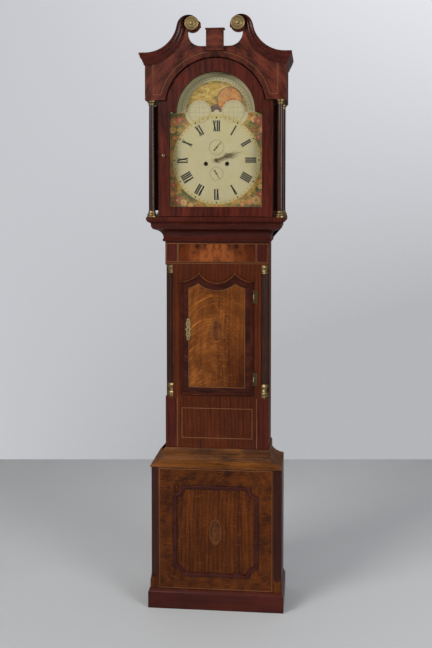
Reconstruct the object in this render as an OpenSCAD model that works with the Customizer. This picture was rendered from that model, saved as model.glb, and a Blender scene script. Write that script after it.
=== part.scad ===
// Eight-day longcase clock with a painted arched moon dial, a swan-neck hood and a seconds pendulum.
// The clock faces -Y, +X is to the viewer's right, and the origin lies on the floor under its middle.

/* [Case heights] */
// Height of the plinth
plinth_h = 74; // [64:1:84]
// Height of the base from the plinth to its front top edge
base_h = 466; // [440:1:490]
// Height of the sloping moulding between base and trunk
shoulder_h = 56; // [46:1:66]
// Height of the trunk from that moulding to the throat
trunk_h = 798; // [780:1:820]
// Height of the hollow throat moulding under the hood
throat_h = 66; // [56:1:76]
// Height of the moulded frame at the foot of the hood
hood_base_h = 27; // [22:1:32]
// Height of the open stage where the hood columns stand
stage_h = 434; // [428:1:440]
// Height of the frieze from the columns to the cornice
frieze_h = 127; // [122:1:134]
// Height of the cornice at the corners of the hood
cornice_h = 47; // [40:1:52]
// Rise from the top of the cornice to the top of the scrolls
scroll_rise = 135; // [130:1:145]

/* [Case widths] */
// Width of the trunk
trunk_w = 394; // [388:1:404]
// How far the base stands out beyond the trunk
base_out = 52; // [46:1:58]
// How far the plinth stands out beyond the trunk
plinth_out = 60; // [59:1:66]
// How far the throat moulding spreads beyond the trunk
throat_out = 48; // [42:1:52]
// How far the foot of the hood stands out beyond the trunk
hood_base_out = 63; // [58:1:64]
// How far the frieze stands out beyond the trunk
frieze_out = 65; // [63:1:68]
// How far the cornice stands out beyond the trunk
cornice_out = 85; // [80:1:90]
// Width of the hood between the outsides of its glazed sides
hood_body_w = 432; // [430:1:436]

/* [Case depth and boards] */
// Depth of the trunk with its backboard
trunk_d = 188; // [184:1:200]
// Thickness of the sides and front boards
board_t = 16; // [14:0.5:18]
// Thickness of the backboard
back_t = 12; // [10:0.5:14]
// Thickness of the thin boards of the hood and the base floor
thin_t = 10; // [8:0.5:12]
// Width of the canted corners of the base
cant = 30; // [24:1:34]
// Height of the stops at the foot of the canted corners, above the plinth
stop_h = 58; // [50:1:80]
// Radius of the quarter columns of the trunk
quarter_r = 26; // [22:0.5:28]
// Height of the square blocks under the quarter columns
low_block_h = 204; // [190:1:220]
// Height of the frieze blocks over the quarter columns
high_block_h = 89; // [80:1:96]
// Height of a brass cap on a quarter column
quarter_cap_h = 32; // [26:1:36]
// Height of a brass base on a quarter column
quarter_foot_h = 51; // [40:1:56]
// Number of reeds on a quarter column
reeds = 5; // [3:1:7]
// Clearance between a wooden piece that moves and what it fits in
wood_gap = 1; // [0.8:0.1:1.5]

/* [Trunk door] */
// Width of the trunk door
door_w = 273; // [264:1:280]
// Height of the foot of the trunk door above the trunk's foot
door_low = 214; // [208:1:220]
// Height of the trunk door to its two points
door_h = 468; // [460:1:474]
// Depth of the hollow between the two points
hollow_d = 40; // [30:1:48]
// Half the distance between the two points
cusp_x = 68; // [60:1:74]
// Depth of the outer half hollows at the corners
corner_d = 35; // [28:1:40]
// Width of the lip that overlaps the frame
lip_w = 12; // [10:1:14]
// Thickness of the lip
lip_t = 7; // [6:0.5:8]
// Height of a door hinge
hinge_h = 50; // [40:1:60]
// Radius of a hinge knuckle
knuckle_r = 3; // [2.6:0.1:3.2]
// Height of the escutcheon
plate_h = 84; // [70:1:90]
// Width of the escutcheon
plate_w = 23; // [20:1:26]
// Travel of the lock bolt
bolt_travel = 6; // [4:0.5:7]

/* [Hood] */
// Width of the hood door
glass_door_w = 425; // [420:1:426]
// Thickness of the hood door
glass_door_t = 20; // [18:0.5:22]
// How far the door lies behind the face of the frieze
door_sink = 8; // [6:0.5:10]
// Radius of the arch cut in the frieze
arch_r = 187; // [184:1:190]
// Radius of the arched opening in the door
sight_r = 146.5; // [142:0.5:148]
// Thickness of the glass
glass_t = 2; // [1.5:0.5:3]
// Radius of a hood column
column_r = 12; // [10:0.5:13]
// Distance of the column axes from the middle of the clock
column_x = 240; // [238:1:241]
// Radius of a brass rosette on the scrolls
rosette_r = 26; // [22:0.5:28]
// Thickness of a rosette
rosette_t = 6; // [5:0.5:8]
// Width of the block between the scrolls
block_w = 65; // [56:1:72]
// Width of the glazed opening in a side of the hood
side_light_w = 110; // [90:1:124]
// Height of the glazed opening in a side of the hood
side_light_h = 250; // [220:1:280]
// Travel of the hood when it is drawn off forwards
hood_travel = 300; // [250:5:320]

/* [Dial] */
// Width and height of the square part of the dial
dial_w = 356; // [352:1:360]
// Radius of the arch of the dial
dial_arch_r = 152; // [150:1:156]
// Height of the dial centre above the foot of the stage
dial_up = 213; // [208:1:216]
// Thickness of the dial
dial_t = 1.6; // [1.4:0.1:2]
// How far the face of the dial lies in front of the trunk
dial_front = 14; // [12:1:16]
// Length of the feet that carry the dial
dial_foot = 28; // [27.5:0.5:30]
// Radius of the opening for the moon
moon_open_r = 116; // [112:1:118]
// Radius of the two humps that hide the moons
hump_r = 45; // [42:1:48]
// Distance of the humps from the middle of the arch
hump_x = 64; // [60:1:66]
// Distance of the winding holes from the middle of the dial
wind_x = 40; // [39:0.5:41]
// Distance of the winding holes below the middle of the dial
wind_down = 13.5; // [12:0.5:15]
// Height of the seconds hand's axis above the middle
seconds_up = 48; // [47:0.5:50]
// Distance of the date hand's axis below the middle
date_down = 50; // [48:0.5:52]
// Length of the minute hand
minute_hand_l = 116; // [110:1:120]
// Length of the hour hand
hour_hand_l = 84; // [78:1:88]
// Length of the seconds hand
seconds_hand_l = 30; // [24:1:34]
// Length of the date hand
date_hand_l = 26; // [20:1:30]

/* [Movement] */
// Width of the movement plates
plate_wide = 150; // [140:1:160]
// Top edge of the plates above the centre arbor
plate_top = 96; // [94:1:104]
// Lower edge of the plates below the centre arbor
plate_low = 62; // [60:1:66]
// Thickness of the movement plates
plate_t = 3.2; // [2.8:0.1:3.6]
// Distance between the plates
pillar_l = 55; // [55:0.5:58]
// Radius of a pillar
pillar_r = 5; // [4:0.5:6]
// Radius of a wheel arbor
arbor_r = 1.6; // [1.3:0.1:1.8]
// Radius of a pivot
pivot_r = 0.9; // [0.7:0.1:1]
// Clearance round a pivot
pivot_gap = 0.15; // [0.12:0.01:0.25]
// Radius of the line drum of a barrel
drum_r = 25; // [23:0.5:26]
// Length of a line drum
drum_l = 32; // [28:1:33]
// Radius of the gut line
line_r = 0.8; // [0.6:0.1:1]
// Thickness of a train wheel
wheel_t = 2; // [1.6:0.1:2.2]

/* [Teeth] */
// Tooth size of the third and escape train
train_mod = 0.8; // [0.78:0.01:0.82]
// Radius of the escape wheel
escape_r = 20; // [19:0.25:20.5]
// Tooth size of the striking great wheel
strike_mod = 0.81; // [0.79:0.01:0.83]
// Distance between the centre and minute arbors
minute_down = 30; // [29.5:0.1:30.5]

/* [Pendulum and weights] */
// Height of the pallet arbor above the escape arbor
pallet_up = 28.5; // [28.3:0.1:29]
// Length of the pendulum from its flexing point to the middle of the bob
pendulum_l = 994; // [985:1:1000]
// Radius of the bob
bob_r = 55; // [48:1:60]
// Thickness of the bob
bob_t = 26; // [22:1:28]
// Width of the flat pendulum rod
rod_w = 7; // [6:0.5:8]
// Thickness of the pendulum rod
rod_t = 2.4; // [2:0.2:3]
// Distance of the pendulum behind the inside of the front plate
pendulum_v = 80; // [78:1:82]
// Radius of a driving weight
weight_r = 28; // [26:0.5:29]
// Height of a driving weight
weight_h = 225; // [200:5:250]
// Fall of a weight from fully wound to run down
weight_fall = 1050; // [1000:10:1060]
// Distance of the wound pulley below the seatboard
pulley_low = 45; // [42:1:60]
// Thickness of the seatboard
seat_t = 18; // [16:1:20]

/* [Hidden] */

// Teeth and leaves: going train, striking train, motion work, date and moon
great_n = 96;
leaf_n = 8;
small_leaf_n = 7;
centre_n = 60;
third_n = 56;
escape_n = 30;
strike_great_n = 78;
pin_wheel_n = 56;
hammer_pins = 8;
gather_n = 49;
warn_n = 48;
fly_leaf_n = 6;
minute_n = 40;
minute_leaf_n = 6;
hour_n = 72;
date_n = 31;
moon_n = 118;

// Levels, from the floor up
base_top = plinth_h + base_h;
trunk_z = base_top + shoulder_h;
throat_z = trunk_z + trunk_h;
hood_z = throat_z + throat_h;
stage_z = hood_z + hood_base_h;
frieze_z = stage_z + stage_h;
cornice_z = frieze_z + frieze_h + cornice_h;
top_z = cornice_z + scroll_rise;
dial_z = stage_z + dial_up;
arch_z = dial_z + dial_w / 2 + 2;
arch_cut_z = arch_z + 9;
seat_z = dial_z - plate_low;

// Depths, from the back forwards
total_d = trunk_d + cornice_out + rosette_t;
back_y = total_d / 2;
trunk_y = back_y - trunk_d;
hood_y = trunk_y - frieze_out;
door_y = hood_y + door_sink;
door_back = door_y + glass_door_t;
mask_y = door_back + 2;
dial_y = trunk_y - dial_front;
inside_y = dial_y + dial_t + dial_foot + plate_t;
board_back = back_y - back_t;

// Half widths
trunk_hw = trunk_w / 2;
body_hw = hood_body_w / 2;
frieze_hw = trunk_hw + frieze_out;
sight_hw = dial_w / 2 - 5;
sight_low = dial_z - dial_w / 2 + 4;
sight_high = dial_z + dial_w / 2 - 1;
door_top = frieze_z - 2.5;
niche = quarter_r + 2;
quarter_z = trunk_z + low_block_h;
quarter_top = throat_z - high_block_h;

// Trunk door
door_z = trunk_z + door_low;
point_z = door_z + door_h;
hollow_r = (cusp_x * cusp_x + hollow_d * hollow_d) / (2 * hollow_d);
corner_half = door_w / 2 - cusp_x;
corner_r = (corner_half * corner_half + corner_d * corner_d) / (2 * corner_d);
door_pin_x = door_w / 2 + knuckle_r;
door_pin_y = trunk_y - knuckle_r - 0.5;
lock_z = door_z + 250;
lock_x = -door_w / 2 + 28;
bolt_h = 22;
bolt_t = 6;

// Hood door
glass_pin_x = glass_door_w / 2 - 6;
glass_pin_y = door_y + 6;
strap_t = 1.6;

// Clearances
seat_gap = 0.3;
rosette_gap = 0.6;

// Swan neck: a hollow arc from the corner and a scroll arc over the rosette
neck_r = 120;
scroll_r = 43;
scroll_x = 97;
rosette_x = 85;
scroll_z = top_z - scroll_r;
rosette_z = scroll_z + 12;
neck_rise = cornice_z + neck_r - scroll_z;
neck_x = scroll_x + sqrt(pow(neck_r + scroll_r, 2) - neck_rise * neck_rise);
neck_end = atan2(neck_rise, neck_x - scroll_x);
moulding_out = cornice_out - frieze_out;
scoop_r = 50;
scoop_z = rosette_z - 31;

// A flat piece whose outline lies in x and z, from y backwards by t
module slab(y, t) {
  translate([0, y + t, 0]) rotate([90, 0, 0]) linear_extrude(t) children();
}

// A box between two corners
module block(a, b) {
  translate(a) cube(b - a);
}

// A round rod along y at x and z, from y0 to y1
module rod(x, z, y0, y1, r, fn = 32) {
  translate([x, y0, z]) rotate([-90, 0, 0]) cylinder(h = y1 - y0, r = r, $fn = fn);
}

// Both a piece and its mirror image across the middle
module both_sides() {
  children();
  mirror([1, 0, 0]) children();
}

// A closed skin through a row of rings that have the same number of points
module skin(rings) {
  n = len(rings[0]);
  m = len(rings);
  points = [for (ring = rings) each ring];
  sides = [
    for (i = [0 : m - 2], j = [0 : n - 1])
      each [
        [i * n + j, i * n + (j + 1) % n, (i + 1) * n + (j + 1) % n],
        [i * n + j, (i + 1) * n + (j + 1) % n, (i + 1) * n + j]
      ]
  ];
  first = [for (j = [n - 1 : -1 : 0]) j];
  last = [for (j = [0 : n - 1]) (m - 1) * n + j];
  polyhedron(points = points, faces = concat([first], sides, [last]), convexity = 10);
}

// A moulding round the front and both sides: profile points are [out, height]
module round_case(profile, half, front, c = 0) {
  k = c > 0 ? sqrt(2) - 1 : 1;
  left = c > 0
    ? [[-half, back_y, -1, 0], [-half, front + c, -1, -k], [-half + c, front, -k, -1]]
    : [[-half, back_y, -1, 0], [-half, front, -1, -1]];
  right = [for (i = [len(left) - 1 : -1 : 0]) [-left[i][0], left[i][1], -left[i][2], left[i][3]]];
  skin([for (s = concat(left, right)) [for (p = profile) [s[0] + p[0] * s[2], s[1] + p[0] * s[3], p[1]]]]);
}

// Points on an arc, from one angle to another
function arc(x, y, r, a0, a1, n) = [for (i = [0 : n]) let (a = a0 + (a1 - a0) * i / n) [x + r * cos(a), y + r * sin(a)]];

// Outline with a straight body and an arched head
module arched(half, low, high, r, centre) {
  translate([-half, low]) square([2 * half, high - low]);
  intersection() {
    translate([0, centre]) circle(r, $fn = 96);
    translate([-r - 1, (low + high) / 2]) square([2 * r + 2, centre + r]);
  }
}

// The plinth: a moulded skirt round the foot of the base
module plinth() {
  out = plinth_out;
  inner = base_out - board_t;
  lip = plinth_out - base_out;
  color("#3b140c")
    round_case(
      [
        [inner, 0], [out, 0], [out, plinth_h - 12], [out - lip * 0.35, plinth_h - 8.5],
        [out - lip * 0.6, plinth_h - 4], [out - lip * 0.7, plinth_h], [inner, plinth_h]
      ],
      trunk_hw, trunk_y
    );
}

// Plan of the base, square or with canted corners
module base_plan(inset, c) {
  half = trunk_hw + base_out - inset;
  front = trunk_y - base_out + inset;
  k = c > 0 ? c - inset * (2 - sqrt(2)) : 0;
  polygon([
    [-half, board_back], [-half, front + k], [-half + k, front],
    [half - k, front], [half, front + k], [half, board_back]
  ]);
}

// The base: canted front corners that end in stops, a floor and open at the top
module base_carcass() {
  half = trunk_hw + base_out;
  front = trunk_y - base_out;
  stop_z = plinth_h + stop_h;
  stop_r = 26;
  reach = cant / sqrt(2);
  color("#4a2410") difference() {
    translate([0, 0, plinth_h]) linear_extrude(base_h) base_plan(0, 0);
    translate([0, 0, plinth_h + thin_t]) linear_extrude(base_h) base_plan(board_t + 2, cant);
    both_sides()
      translate([half, front, 0]) rotate([0, 0, 45]) {
        block([-cant, -stop_r, stop_z], [cant, reach, base_top + 1]);
        translate([-cant, reach - stop_r, stop_z]) rotate([0, 90, 0]) cylinder(h = 2 * cant, r = stop_r, $fn = 48);
      }
  }
}

// Half width and edges of the applied panel on the base
panel_hw = 162;
panel_low = plinth_h + 52;
panel_high = base_top - 65;
notch_r = 34;

// Outline of the panel with quarter-round notches at its corners
module panel_shape(inset) {
  difference() {
    translate([-panel_hw + inset, panel_low + inset])
      square([2 * (panel_hw - inset), panel_high - panel_low - 2 * inset]);
    for (x = [-panel_hw, panel_hw], z = [panel_low, panel_high])
      translate([x, z]) circle(notch_r + inset, $fn = 48);
  }
}

// The moulding applied to the front of the base, in two steps
module base_panel_moulding() {
  front = trunk_y - base_out;
  color("#6a2a14") {
    slab(front - 3, 3) difference() {
      panel_shape(0);
      panel_shape(15);
    }
    slab(front - 6.5, 3.5) difference() {
      panel_shape(3);
      panel_shape(11);
    }
  }
}

// The sloping hollow between base and trunk, with a bead round the trunk's foot
module shoulder_moulding() {
  bead = 8;
  color("#5a3216")
    round_case(
      concat(
        [[0, base_top], [base_out, base_top], [base_out, base_top + 5]],
        [for (p = arc(base_out + 4, trunk_z + 14, shoulder_h + 8, 262, 196, 6)) [max(6, min(base_out - 1, p[0])), p[1]]],
        [[6, trunk_z], [4.5, trunk_z + bead / 2], [3, trunk_z + bead], [0, trunk_z + bead]]
      ),
      trunk_hw, trunk_y, 0
    );
}

// Outline of the trunk door, or of its opening when inset is positive
module door_shape(inset) {
  difference() {
    translate([-door_w / 2 + inset, door_z + inset]) square([door_w - 2 * inset, door_h - 2 * inset]);
    translate([0, point_z - hollow_d + hollow_r]) circle(hollow_r + inset, $fn = 96);
    for (x = [-door_w / 2, door_w / 2])
      translate([x, point_z - corner_d + corner_r]) circle(corner_r + inset, $fn = 96);
  }
}

// The trunk: two sides that run up into the hood, a front frame, corner posts and blocks
module trunk_carcass() {
  post = niche;
  side_front = trunk_y + post;
  foot_z = base_top - 40;
  color("#5b3017") {
    union() {
      slab(trunk_y, board_t) difference() {
        translate([-trunk_hw + post, foot_z]) square([trunk_w - 2 * post, hood_z - foot_z]);
        door_shape(lip_w);
      }
      both_sides() {
        block([trunk_hw - board_t, side_front, foot_z], [trunk_hw, board_back, hood_z]);
        block([trunk_hw - board_t, trunk_y + board_t + 4, hood_z], [trunk_hw, board_back, seat_z - seat_t]);
        block([trunk_hw - post - 4, trunk_y + board_t, foot_z], [trunk_hw - post, side_front + 4, hood_z]);
        block([trunk_hw - post, side_front, foot_z], [trunk_hw - board_t, side_front + 4, hood_z]);
        block([trunk_hw - post, trunk_y, foot_z], [trunk_hw, side_front, quarter_z]);
        block([trunk_hw - post, trunk_y, quarter_top], [trunk_hw, side_front, hood_z]);
        block([trunk_hw, trunk_y + 20, foot_z], [trunk_hw + base_out - board_t - 2, board_back, base_top]);
      }
    }
  }
}

// The backboard, from the floor up into the hood
module backboard() {
  half = trunk_hw;
  color("#3a2212") {
    block([-half - base_out + board_t + 2, board_back, 4], [half + base_out - board_t - 2, back_y, base_top]);
    block([-half, board_back, base_top], [half, back_y, cornice_z - 60]);
  }
}

// A quarter column with reeds, standing in the corner at x and y
module quarter_shaft(r) {
  reed = r * PI / 4 / reeds;
  intersection() {
    union() {
      circle(r - reed * 0.9, $fn = 64);
      for (i = [0 : reeds - 1])
        rotate(-90 + (i + 0.5) * 90 / reeds) translate([r - reed, 0]) circle(reed * 0.9, $fn = 16);
    }
    translate([0, -r - 1]) square([r + 1, r + 1]);
  }
}

// The reeded quarter columns at the corners of the trunk
module quarter_columns() {
  r = quarter_r - 2;
  color("#24100a") both_sides()
    translate([trunk_hw - niche, trunk_y + niche, quarter_z + quarter_foot_h])
      linear_extrude(quarter_top - quarter_z - quarter_foot_h - quarter_cap_h) quarter_shaft(r);
}

// Quarter of a turned piece, from its radius and height points
module quarter_turned(points) {
  intersection() {
    rotate_extrude($fn = 64) polygon(points);
    translate([0, -niche, 0]) cube([niche, niche, 200]);
  }
}

// The turned brass caps and bases of the quarter columns
module quarter_column_brasses() {
  r = quarter_r - 2;
  color("#b08a45") both_sides() translate([trunk_hw - niche, trunk_y + niche, 0]) {
    translate([0, 0, quarter_z])
      quarter_turned([
        [0, 0], [quarter_r + 1, 0], [quarter_r + 1, 9], [quarter_r - 1, 11], [quarter_r + 0.5, 15],
        [quarter_r - 1, 19], [r - 2, 22], [r - 3, 30], [r - 1, 36], [quarter_r, 39], [quarter_r, 43],
        [r, quarter_foot_h], [0, quarter_foot_h]
      ]);
    translate([0, 0, quarter_top - quarter_cap_h])
      quarter_turned([
        [0, 0], [quarter_r - 0.5, 0], [quarter_r - 0.5, 4], [r - 1, 6], [r - 1, 13], [quarter_r, 19],
        [quarter_r + 1, 22], [quarter_r + 1, quarter_cap_h], [0, quarter_cap_h]
      ]);
  }
}

// The hollow throat moulding that carries the hood
module throat_moulding() {
  w = throat_out;
  h = throat_h;
  color("#4a1c12")
    round_case(
      concat(
        [[0, throat_z], [7, throat_z], [9, throat_z + 4], [9, throat_z + 8], [6, throat_z + 11]],
        [for (p = arc(w - 6, throat_z + 14, w - 12, 176, 104, 6)) [p[0], throat_z + 14 + (p[1] - throat_z - 14) * (h - 34) / (w - 12)]],
        [[w - 5, hood_z - 17], [w - 4, hood_z - 13], [w - 1, hood_z - 9], [w, hood_z - 2], [w - 1, hood_z], [0, hood_z]]
      ),
      trunk_hw, trunk_y
    );
}

// The seatboard across the cheeks, with slots for the lines
module seatboard() {
  low = seat_z - seat_t;
  front = inside_y - plate_t - 8;
  line_y = inside_y + line_v;
  color("#6b4a2a") difference() {
    block([-trunk_hw, front, low], [trunk_hw, inside_y + pillar_l + plate_t + 6, seat_z]);
    both_sides() for (x = [wind_x - drum_r - line_r, wind_x + drum_r + line_r])
      block([x - 6, line_y - 17, low - 1], [x + 6, line_y + 17, seat_z + 1]);
  }
}

// The fixed leaves, outer knuckles and pins of the two trunk door hinges
module trunk_hinge_butts() {
  color("#9a7a3a") for (z = hinge_levels()) {
    for (s = [-1, 1])
      translate([door_pin_x, door_pin_y, z + s * hinge_h / 3 - hinge_h / 6 + 0.2])
        cylinder(h = hinge_h / 3 - 0.4, r = knuckle_r, $fn = 32);
    translate([door_pin_x, door_pin_y, z - hinge_h / 2 + 1]) cylinder(h = hinge_h - 2, r = knuckle_r / 2, $fn = 32);
    difference() {
      block([door_pin_x, trunk_y - 1.2, z - hinge_h / 2 + 0.2], [door_pin_x + 14, trunk_y, z + hinge_h / 2 - 0.2]);
      block([door_pin_x - 1, trunk_y - 2, z - hinge_h / 6 - 0.2], [door_pin_x + knuckle_r + 0.6, trunk_y + 1, z + hinge_h / 6 + 0.2]);
    }
  }
}

// Heights of the trunk door hinges
function hinge_levels() = [door_z + 62, point_z - 92];

// The keyhole through the trunk door
module keyhole() {
  translate([lock_x, lock_z]) circle(3.2, $fn = 24);
  translate([lock_x - 1.4, lock_z - 10]) square([2.8, 10]);
}

// The trunk door: a panel that fits the opening and a lip that overlaps the frame
module trunk_door() {
  color("#6a3a1a") difference() {
    union() {
      slab(trunk_y - lip_t, lip_t - seat_gap) door_shape(0);
      slab(trunk_y - seat_gap, board_t - 2 + seat_gap) door_shape(lip_w + wood_gap);
      slab(trunk_y - lip_t - 2.5, 2.5) difference() {
        door_shape(3);
        door_shape(9);
      }
    }
    slab(trunk_y - 20, 60) keyhole();
    for (z = hinge_levels())
      translate([door_pin_x, door_pin_y, z - hinge_h / 2 - 1]) cylinder(h = hinge_h + 2, r = knuckle_r + 0.3, $fn = 32);
  }
}

// The middle knuckles and leaves on the door, and the escutcheon round the keyhole
module trunk_door_brasses() {
  mid = lock_z;
  color("#b8924a") {
    for (z = hinge_levels()) {
      difference() {
        union() {
          translate([door_pin_x, door_pin_y, z - hinge_h / 6 + 0.2])
            cylinder(h = hinge_h / 3 - 0.4, r = knuckle_r, $fn = 32);
          block([door_w / 2 - 0.001, door_pin_y - 1.2, z - hinge_h / 6 + 0.2], [door_pin_x - 1, door_pin_y + 1.2, z + hinge_h / 6 - 0.2]);
        }
        translate([door_pin_x, door_pin_y, z - hinge_h]) cylinder(h = 2 * hinge_h, r = knuckle_r / 2 + 0.15, $fn = 32);
      }
    }
    slab(trunk_y - lip_t - 1.5, 1.5) difference() {
      union() {
        for (s = [-1, 1]) {
          translate([lock_x, mid + s * plate_h * 0.24]) circle(plate_w * 0.42, $fn = 48);
          translate([lock_x, mid + s * (plate_h / 2 - 6)]) circle(6, $fn = 32);
          translate([lock_x + s * plate_w * 0.3, mid]) circle(plate_w * 0.2, $fn = 32);
        }
        translate([lock_x - plate_w * 0.3, mid - plate_h / 2 + 8]) square([plate_w * 0.6, plate_h - 16]);
      }
      keyhole();
    }
  }
}

// The lock case behind the door, with a slot for its bolt
module trunk_lock() {
  back = trunk_y + board_t - 2;
  edge = -door_w / 2 + lip_w + wood_gap;
  color("#8a8070") difference() {
    union() {
      block([edge + 1, back, lock_z - 30], [edge + 44, back + 9, lock_z + 22]);
      rod(lock_x, lock_z, back - 12, back + 8, 2.6, 24);
    }
    block([edge, back + 2, lock_z + 2], [edge + 36, back + 7, lock_z + 18]);
  }
}

// The bolt, drawn back
module lock_bolt() {
  back = trunk_y + board_t - 2;
  edge = -door_w / 2 + lip_w + wood_gap;
  color("#9a948a")
    block([edge + 1.5, back + 2 + seat_gap, lock_z + 2 + seat_gap], [edge + 26, back + 7 - seat_gap, lock_z + 18 - seat_gap]);
}

// The hollow arc and the scroll of a swan neck, on the right
function neck_curve() = arc(neck_x, cornice_z + neck_r, neck_r, -90, neck_end - 180, 14);
function scroll_curve() = arc(scroll_x, scroll_z, scroll_r, neck_end, 150, 12);

// Width of the swan-neck moulding at an angle round the scroll, as far as the rosette
function scroll_width(a) =
  let (dx = rosette_x - scroll_x, dz = rosette_z - scroll_z, d = dx * cos(a) + dz * sin(a))
  scroll_r - d - sqrt(pow(rosette_r + rosette_gap, 2) - dx * dx - dz * dz + d * d);

// Outline of the tall front board of the hood, with its scrolls and scoops
module front_outline() {
  curve = concat([[frieze_hw, cornice_z]], neck_curve(), scroll_curve());
  scoop_x = 52;
  difference() {
    both_sides() polygon(concat([[0, frieze_z], [frieze_hw, frieze_z]], curve, [[0, scroll_z]]));
    difference() {
      union() {
        both_sides() translate([scoop_x, scoop_z]) circle(scoop_r, $fn = 64);
        translate([-scoop_x, scoop_z - scoop_r]) square([2 * scoop_x, scoop_r]);
        translate([-scoop_x - scoop_r, scoop_z]) square([2 * (scoop_x + scoop_r), scroll_rise]);
      }
      both_sides() {
        translate([rosette_x, rosette_z]) circle(rosette_r + 4, $fn = 64);
        intersection() {
          translate([scroll_x, scroll_z]) circle(scroll_r, $fn = 96);
          translate([0, scroll_z]) square([scroll_x + scroll_r, scroll_r + 1]);
        }
      }
    }
    translate([0, arch_cut_z]) circle(arch_r, $fn = 128);
  }
}

// The front board of the hood with the scroll ends and the block between them
module hood_front() {
  thick = glass_door_t;
  scoop_low = scoop_z - scoop_r;
  block_low = scoop_low - 18;
  block_high = top_z - 52;
  flare = 3.5;
  color("#431811") {
    difference() {
      slab(hood_y, thick) front_outline();
      translate([0, hood_y + thick, arch_cut_z]) rotate([90, 0, 0])
        cylinder(h = thick, r1 = arch_r, r2 = arch_r + flare, $fn = 128);
      translate([glass_pin_x, glass_pin_y, frieze_z - 1]) cylinder(h = 11, r = 2 + pivot_gap, $fn = 24);
    }
    both_sides() slab(hood_y - moulding_out, moulding_out)
      translate([rosette_x, rosette_z]) circle(rosette_r, $fn = 64);
    block([-block_w / 2, hood_y - 12, block_low], [block_w / 2, hood_y, block_high]);
    block([-block_w / 2 + 4, hood_y, scoop_low - 2], [block_w / 2 - 4, hood_y + thick, block_high]);
    block([-block_w / 2 - 3, hood_y - 15, block_high], [block_w / 2 + 3, hood_y + thick + 3, block_high + 4]);
  }
}

// The cornice along the sides, which turns the corner and rises as a swan neck to each scroll
module hood_cornice() {
  profile = [
    [0, 0], [1, 0], [1, 0.13], [0.9, 0.17], [0.84, 0.3], [0.7, 0.44], [0.48, 0.54], [0.44, 0.64],
    [0.36, 0.72], [0.24, 0.8], [0.22, 0.9], [0, 1]
  ];
  turn = 90 - neck_end;
  function neck_ring(a) =
    let (w = cornice_h + (scroll_width(neck_end) - cornice_h) * (-90 - a) / turn)
    [for (p = profile) [neck_x + (neck_r + p[1] * w) * cos(a), hood_y - p[0] * moulding_out,
      cornice_z + neck_r + (neck_r + p[1] * w) * sin(a)]];
  function scroll_ring(a) =
    let (w = scroll_width(a))
    [for (p = profile) [scroll_x + (scroll_r - p[1] * w) * cos(a), hood_y - p[0] * moulding_out,
      scroll_z + (scroll_r - p[1] * w) * sin(a)]];
  back = [for (p = profile) [frieze_hw + p[0] * moulding_out, back_y, cornice_z - p[1] * cornice_h]];
  corner = [for (p = profile)
    [frieze_hw + p[0] * moulding_out, hood_y - p[0] * moulding_out, cornice_z - p[1] * cornice_h]];
  color("#33100b") both_sides()
    skin(concat(
      [back, corner],
      [for (i = [0 : 14]) neck_ring(-90 - turn * i / 14)],
      [for (i = [1 : 10]) scroll_ring(neck_end + (138 - neck_end) * i / 10)]
    ));
}

// Outline of the mask that frames the dial inside the hood
module mask_outline() {
  difference() {
    translate([-body_hw, stage_z]) square([2 * body_hw, cornice_z - 12 - stage_z]);
    arched(sight_hw + 2, sight_low - 2, sight_high + 2, sight_r + 2, arch_z);
  }
}

// The box of the hood: moulded foot, glazed sides, mask, soffits, upper sides and roof
module hood_carcass() {
  side_t = 12;
  mask_t = dial_y - 3 - mask_y;
  side_y = mask_y + mask_t;
  light_y = (side_y + back_y) / 2 - 6;
  foot = concat(
    [[3, hood_z], [throat_out - 1, hood_z], [throat_out + 1, hood_z + 4]],
    arc(throat_out + 1, stage_z - 7, hood_base_out - throat_out - 1, -70, 0, 5),
    [[hood_base_out, stage_z - 6], [hood_base_out, stage_z], [3, stage_z]]
  );
  color("#3f1710") {
    difference() {
      union() {
        round_case(foot, trunk_hw, trunk_y);
        block([-trunk_hw, mask_y + 4, hood_z], [trunk_hw, trunk_y - 3, stage_z]);
      }
      translate([glass_pin_x, glass_pin_y, stage_z - 10]) cylinder(h = 11, r = 2 + pivot_gap, $fn = 24);
    }
    slab(mask_y, mask_t) mask_outline();
    both_sides() {
      difference() {
        block([body_hw - side_t, side_y, stage_z], [body_hw, back_y, cornice_z - 22]);
        block(
          [body_hw - side_t - 1, light_y - side_light_w / 2, dial_z - side_light_h / 2],
          [body_hw + 1, light_y + side_light_w / 2, dial_z + side_light_h / 2]
        );
      }
      block([body_hw, hood_y + glass_door_t, frieze_z], [frieze_hw - side_t, back_y, frieze_z + thin_t]);
      block([frieze_hw - side_t, hood_y + glass_door_t, frieze_z], [frieze_hw, back_y, cornice_z - 2]);
      block([body_hw, back_y - thin_t, stage_z], [column_x + column_r, back_y, frieze_z]);
    }
    block([-frieze_hw + side_t, side_y, cornice_z - 22], [frieze_hw - side_t, back_y, cornice_z - 12]);
    block([-frieze_hw + side_t, hood_y + glass_door_t, arch_cut_z + arch_r + 1], [frieze_hw - side_t, mask_y, cornice_z - 12]);
  }
}

// Heights of the brass caps and bases of the hood columns
cap_h = 18;
foot_h = 23;
front_column_y = hood_y + 22;
rear_column_y = back_y - thin_t;

// The smooth hood columns, swelling a little, with half columns at the back
module hood_columns() {
  low = stage_z + foot_h;
  high = frieze_z - cap_h;
  shape = concat(
    [[0, low]],
    [for (i = [0 : 8]) let (t = i / 8) [column_r - 1.6 * t * t, low + (high - low) * t]],
    [[0, high]]
  );
  color("#1d0d08") both_sides() {
    translate([column_x, front_column_y, 0]) rotate_extrude($fn = 48) polygon(shape);
    translate([column_x, rear_column_y, 0]) difference() {
      rotate_extrude($fn = 48) polygon(shape);
      block([-30, 0, low - 1], [30, 30, high + 1]);
    }
  }
}

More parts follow.
